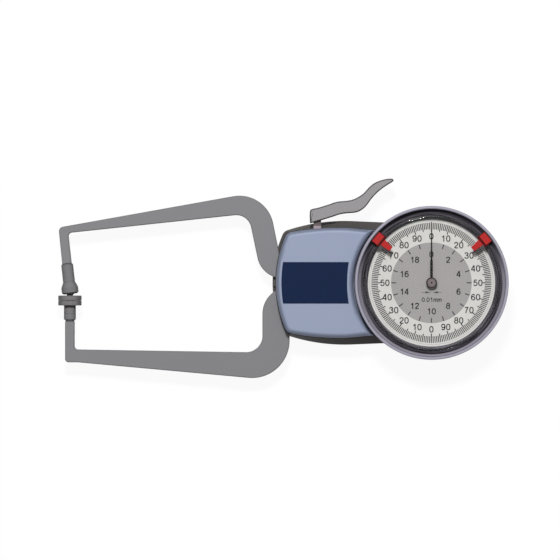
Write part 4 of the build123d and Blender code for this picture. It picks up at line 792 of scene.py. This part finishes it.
# Hands: stamped brass under a black lacquer; the round cap over them is burnished, brownish, with a
# darker rim and a small dark dot at its centre.
hand_black = finish(
    "hand_black", (0.003, 0.003, 0.003), (0.003, 0.003, 0.003), 0.6,
    (900.0, 0.9, 1.1), (0.01 * MM, 0.1), (0.05 * MM, 0.0, 0.0), shine=0.0,
)
lay_on(hand_black, "short_hand")
hand_and_cap = finish(
    "hand_and_cap", (0.003, 0.003, 0.003), (0.003, 0.003, 0.003), 0.5,
    (900.0, 0.9, 1.1), (0.01 * MM, 0.1), (0.05 * MM, 0.0, 0.0), shine=0.0,
)
cap_tones = (
    (0.0, (0.012, 0.008, 0.009)),
    (0.11, (0.02, 0.015, 0.016)),
    (0.17, (0.19, 0.155, 0.16)),
    (0.5, (0.17, 0.14, 0.145)),
    (0.64, (0.04, 0.03, 0.032)),
    (0.77, (0.003, 0.003, 0.003)),
)
cap_tones_reach = 3.0 * MM
cap_tree = hand_and_cap.node_tree
cap_place = times(cap_tree, in_plan(cap_tree)[1], 1.0 / cap_tones_reach)
colour_ramp(hand_and_cap, cap_place, cap_tones)
lay_on(hand_and_cap, "long_hand")

# Bezel: a ring turned from light metal and satin anodised in a pale violet grey. A snap ring
# keeps it on the housing's collar, round which it turns.
satin_bezel = finish(
    "satin_bezel", (0.3, 0.288, 0.35), (0.34, 0.33, 0.39), 0.45,
    (1300.0, 0.95, 1.05), (0.02 * MM, 0.15), (0.25 * MM, 0.2, 0.0), metal=0.15, shine=0.35,
)
lay_on(satin_bezel, "bezel_ring")

# Ring that holds the crystal: turned, with a groove under the markers and fine steps down to the
# dial, and black anodised, with lighter streaks round it that are painted reflection. The groove's
# outer side is a bright slope with painted shade towards 12 o'clock, where it faces away from the
# lamp; the painted patch turns with the bezel.
ring_profile = np.array(
    [
        (27.02, 22.4), (31.34, 22.4), (31.34, 25.3), (31.22, 25.3), (31.2, 25.9),
        (30.0, 24.6), (29.9, 24.6), (29.88, 25.84), (29.8, 25.9), (29.6, 25.9),
        (29.54, 25.78), (29.4, 25.78), (29.34, 25.9), (29.18, 25.92), (29.12, 26.1),
        (29.02, 26.1), (28.92, 25.98), (28.92, 24.2), (27.95, 24.2), (27.93, 24.18),
        (27.9, 23.75), (27.73, 23.7), (27.7, 23.35), (27.53, 23.3), (27.5, 22.95), (27.33, 22.9),
        (27.3, 22.65), (27.04, 22.6), (27.02, 22.55),
    ]
) * MM
ring_steps = 320
ring_slope = 4


def streaked(name, low, high, rough, fineness):
    """A streaked finish: its tone runs from low to high in thin streaks round the axis, which
    are painted reflection. It is noise at the point (fineness times the radius, twice the
    cosine and sine of the angle)."""
    material = finish(
        name, low, high, rough,
        (1300.0, 0.9, 1.1), (0.01 * MM, 0.1), (0.1 * MM, 0.0, 0.0), shine=0.08,
    )
    tree = material.node_tree
    plan, reach = in_plan(tree)
    around = put(tree, "VectorMath", {0: plan}, operation="NORMALIZE")["Vector"]
    slow = put(tree, "VectorMath", {0: around, "Scale": 2.0}, operation="SCALE")["Vector"]
    turn = put(tree, "SeparateXYZ", {"Vector": slow})
    place = {"X": times(tree, reach, fineness), "Y": turn["X"], "Z": turn["Y"]}
    spot = put(tree, "CombineXYZ", place)["Vector"]
    streak = put(tree, "TexNoise", {"Vector": spot, "Scale": 1.0, "Detail": 3.0})["Fac"]
    parts = {"Factor": spread(tree, streak, 0.42, 0.68), "A": (*low, 1.0), "B": (*high, 1.0)}
    tone = put(tree, "Mix", parts, data_type="RGBA")["Result"]
    feed(tree, tree.nodes["Principled BSDF"], {"Base Color": tone})
    return material


dark_ring = streaked("dark_ring", (0.004, 0.003, 0.005), (0.14, 0.127, 0.155), 0.4, 5200.0)
bright_lip = finish(
    "bright_lip", (0.28, 0.262, 0.31), (0.28, 0.262, 0.31), 0.5,
    (1300.0, 0.95, 1.05), (0.01 * MM, 0.1), (0.1 * MM, 0.0, 0.0), shine=0.05,
)
# Painted shade on the slope where it faces towards 12 o'clock.
shade_sides(bright_lip, (0.01, 0.009, 0.012), -0.08, -0.38, 0.86, "Y")
crystal_holder = make_piece(
    "crystal_holder", *turned(ring_profile, ring_steps), dark_ring, bright_lip
)
ring_faces = crystal_holder.data.polygons
ring_edge = np.arange(len(ring_faces)) % len(ring_profile)
ring_faces.foreach_set("material_index", (ring_edge == ring_slope).astype(np.int32))
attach(crystal_holder, "bezel")
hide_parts("crystal_ring")

# Gasket of the crystal: a ring of black rubber under its rim, highest at the inside, with two
# fine sealing steps that are seen through the clear edge.
gasket_profile = np.array(
    [
        (27.97, 24.21), (28.9, 24.21), (28.9, 24.6), (28.72, 24.66), (28.66, 24.76),
        (28.46, 24.82), (28.4, 24.92), (28.12, 25.0), (27.97, 25.0),
    ]
) * MM
gasket_steps = 288
gasket_black = streaked("gasket_black", (0.003, 0.003, 0.004), (0.07, 0.068, 0.078), 0.45, 4600.0)
rim_gasket = make_piece("rim_gasket", *turned(gasket_profile, gasket_steps), gasket_black)
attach(rim_gasket, "bezel")
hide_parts("crystal_gasket")

# Crystal: turned from clear acrylic, flat over the dial and rounded off down to its rim. Light
# on its way to the dial passes it, which stands for what the clear sheet lets through.
clear = bpy.data.materials.new("clear_crystal")
clear.use_nodes = True
clear_tree = clear.node_tree
clear_shader = clear_tree.nodes["Principled BSDF"]
clear_grain = {"Scale": 500.0, "Low": 0.01, "High": 0.03}
clear_surface = {
    "Base Color": (1.0, 1.0, 1.0, 1.0),
    "Roughness": put(clear_tree, "Group", clear_grain, node_tree=fine_grain)["Tone"],
    "IOR": 1.24,
    "Transmission Weight": 1.0,
}
feed(clear_tree, clear_shader, clear_surface)
clear_path = put(clear_tree, "LightPath")
lit_rays = {0: clear_path["Is Shadow Ray"], 1: clear_path["Is Diffuse Ray"]}
clear_mix = put(
    clear_tree,
    "MixShader",
    {
        "Fac": put(clear_tree, "Math", lit_rays, operation="MAXIMUM")["Value"],
        1: clear_shader.outputs["BSDF"],
        2: put(clear_tree, "BsdfTransparent")["BSDF"],
    },
)
feed(clear_tree, clear_tree.nodes["Material Output"], {"Surface": clear_mix["Shader"]})


def lens(profile, steps):
    """Solid disc from an open profile of (radius, height) points that starts on the axis below
    and ends on it above: rings as in turned, and a fan of triangles round each pole."""
    vertices = turned(profile[1:-1], steps)[0]
    spots = len(profile) - 2
    faces = grid_faces(steps, spots, rows_close=True, spots_close=False).tolist()
    turn = np.arange(steps)
    beside = (turn + 1) % steps
    bottom, top = len(vertices), len(vertices) + 1
    faces += np.stack((beside * spots, turn * spots, bottom + 0 * turn), axis=-1).tolist()
    faces += np.stack(
        (turn * spots + spots - 1, beside * spots + spots - 1, top + 0 * turn), axis=-1
    ).tolist()
    poles = [[0.0, 0.0, profile[0][1]], [0.0, 0.0, profile[-1][1]]]
    return np.concatenate((vertices, poles)), faces


# The rim is a quarter of an ellipse in the profile, from its side to just short of its top.
glass_steps = 256
rim_middle = np.array((27.2, 25.75))
rim_reach = np.array((1.65, 0.75))
rim_turn = np.radians(np.linspace(0.0, 82.0, 15))
crystal_rim = rim_middle + rim_reach * np.column_stack((np.cos(rim_turn), np.sin(rim_turn)))
crystal_profile = np.concatenate(
    ([(0.0, 25.0), (28.8, 25.0), (28.85, 25.05)], crystal_rim, [(26.0, 26.5), (0.0, 26.5)])
) * MM
watch_glass = make_piece("watch_glass", *lens(crystal_profile, glass_steps), clear)
glass_faces = watch_glass.data.polygons
# Only the rounded rim is shaded smooth: the sides of the profile beyond the first two, but not
# the last one or the fans.
rim_sides = len(crystal_profile) - 3
glass_face = np.arange(len(glass_faces))
glass_side = glass_face % rim_sides
smooth = (glass_face < glass_steps * rim_sides) & (glass_side > 1) & (glass_side < rim_sides - 1)
glass_faces.foreach_set("use_smooth", smooth)
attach(watch_glass, "bezel")
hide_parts("crystal")

# Markers: moulded red plastic clips, glossy on top, with painted shade along their edges and sides,
# which slide round the bezel.
red_plastic = finish(
    "red_plastic", (0.42, 0.012, 0.012), (0.2, 0.006, 0.006), 0.35,
    (900.0, 0.94, 1.06), (0.02 * MM, 0.15), (0.25 * MM, 0.6, 1.0), shine=0.15,
)
# Painted shade on the sides, by the direction they face.
shade_sides(red_plastic, (0.06, 0.003, 0.003), 0.98, 0.8, 0.85)
lay_on(red_plastic, "marker_left", "marker_right")

# Rubber bellows that closes the slot in the flank beside the stem: fine pleats, flush with the
# flank. Lengths are in millimetres, and each line of the flank is (its largest y, its bow, the x of
# its largest y).
pleat = 0.03
pleat_pitch = 0.45
skin_gap = 0.05
skin_depth = 0.9
skin_levels = (9.42, 10.5, 12.0, 13.97)
flank_lower_line = (26.45, 0.00626, -36.5)
flank_upper_line = (23.74, 0.0041, -38.5)
flank_lower_level = 7.5
flank_height = 6.5


def flank_skin(left, right, steps):
    """Skin between two places along x: the flank's lower and upper lines are the parabolas
    y = largest - bow * (x - middle)^2, the skin runs straight between them, a gap inside the
    flank, the pleats are a cosine in x, and its back is the flank moved in by its depth."""
    along = np.linspace(left, right, steps)[:, None]
    level = np.array(skin_levels)[None, :]
    low_line, high_line = (
        largest - bow * (along - middle) ** 2
        for largest, bow, middle in (flank_lower_line, flank_upper_line)
    )
    flank = low_line + (high_line - low_line) * (level - flank_lower_level) / flank_height
    outer = flank - skin_gap - pleat + pleat * np.cos(2 * pi * (along - left) / pleat_pitch)
    inner = (flank - skin_depth)[:, ::-1]
    rows = np.concatenate((outer, inner), axis=1)
    heights = np.concatenate((level, level[:, ::-1]), axis=1)
    vertices = np.stack(
        (along + 0.0 * rows, rows, heights + 0.0 * rows), axis=-1
    ).reshape(-1, 3) * MM
    spots = rows.shape[1]
    ends = [np.arange(spots)[::-1].tolist(), ((steps - 1) * spots + np.arange(spots)).tolist()]
    return vertices, grid_faces(steps, spots)[:, [0, 3, 2, 1]].tolist() + ends


slot_bellows = make_piece("slot_bellows", *flank_skin(-46.7, -40.5, 111), black_lacquer)
slot_lip = make_piece("slot_lip", *flank_skin(-51.05, -50.12, 21), black_lacquer)
for skin in (slot_bellows, slot_lip):
    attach(skin, "housing")
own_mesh(slot_bellows)
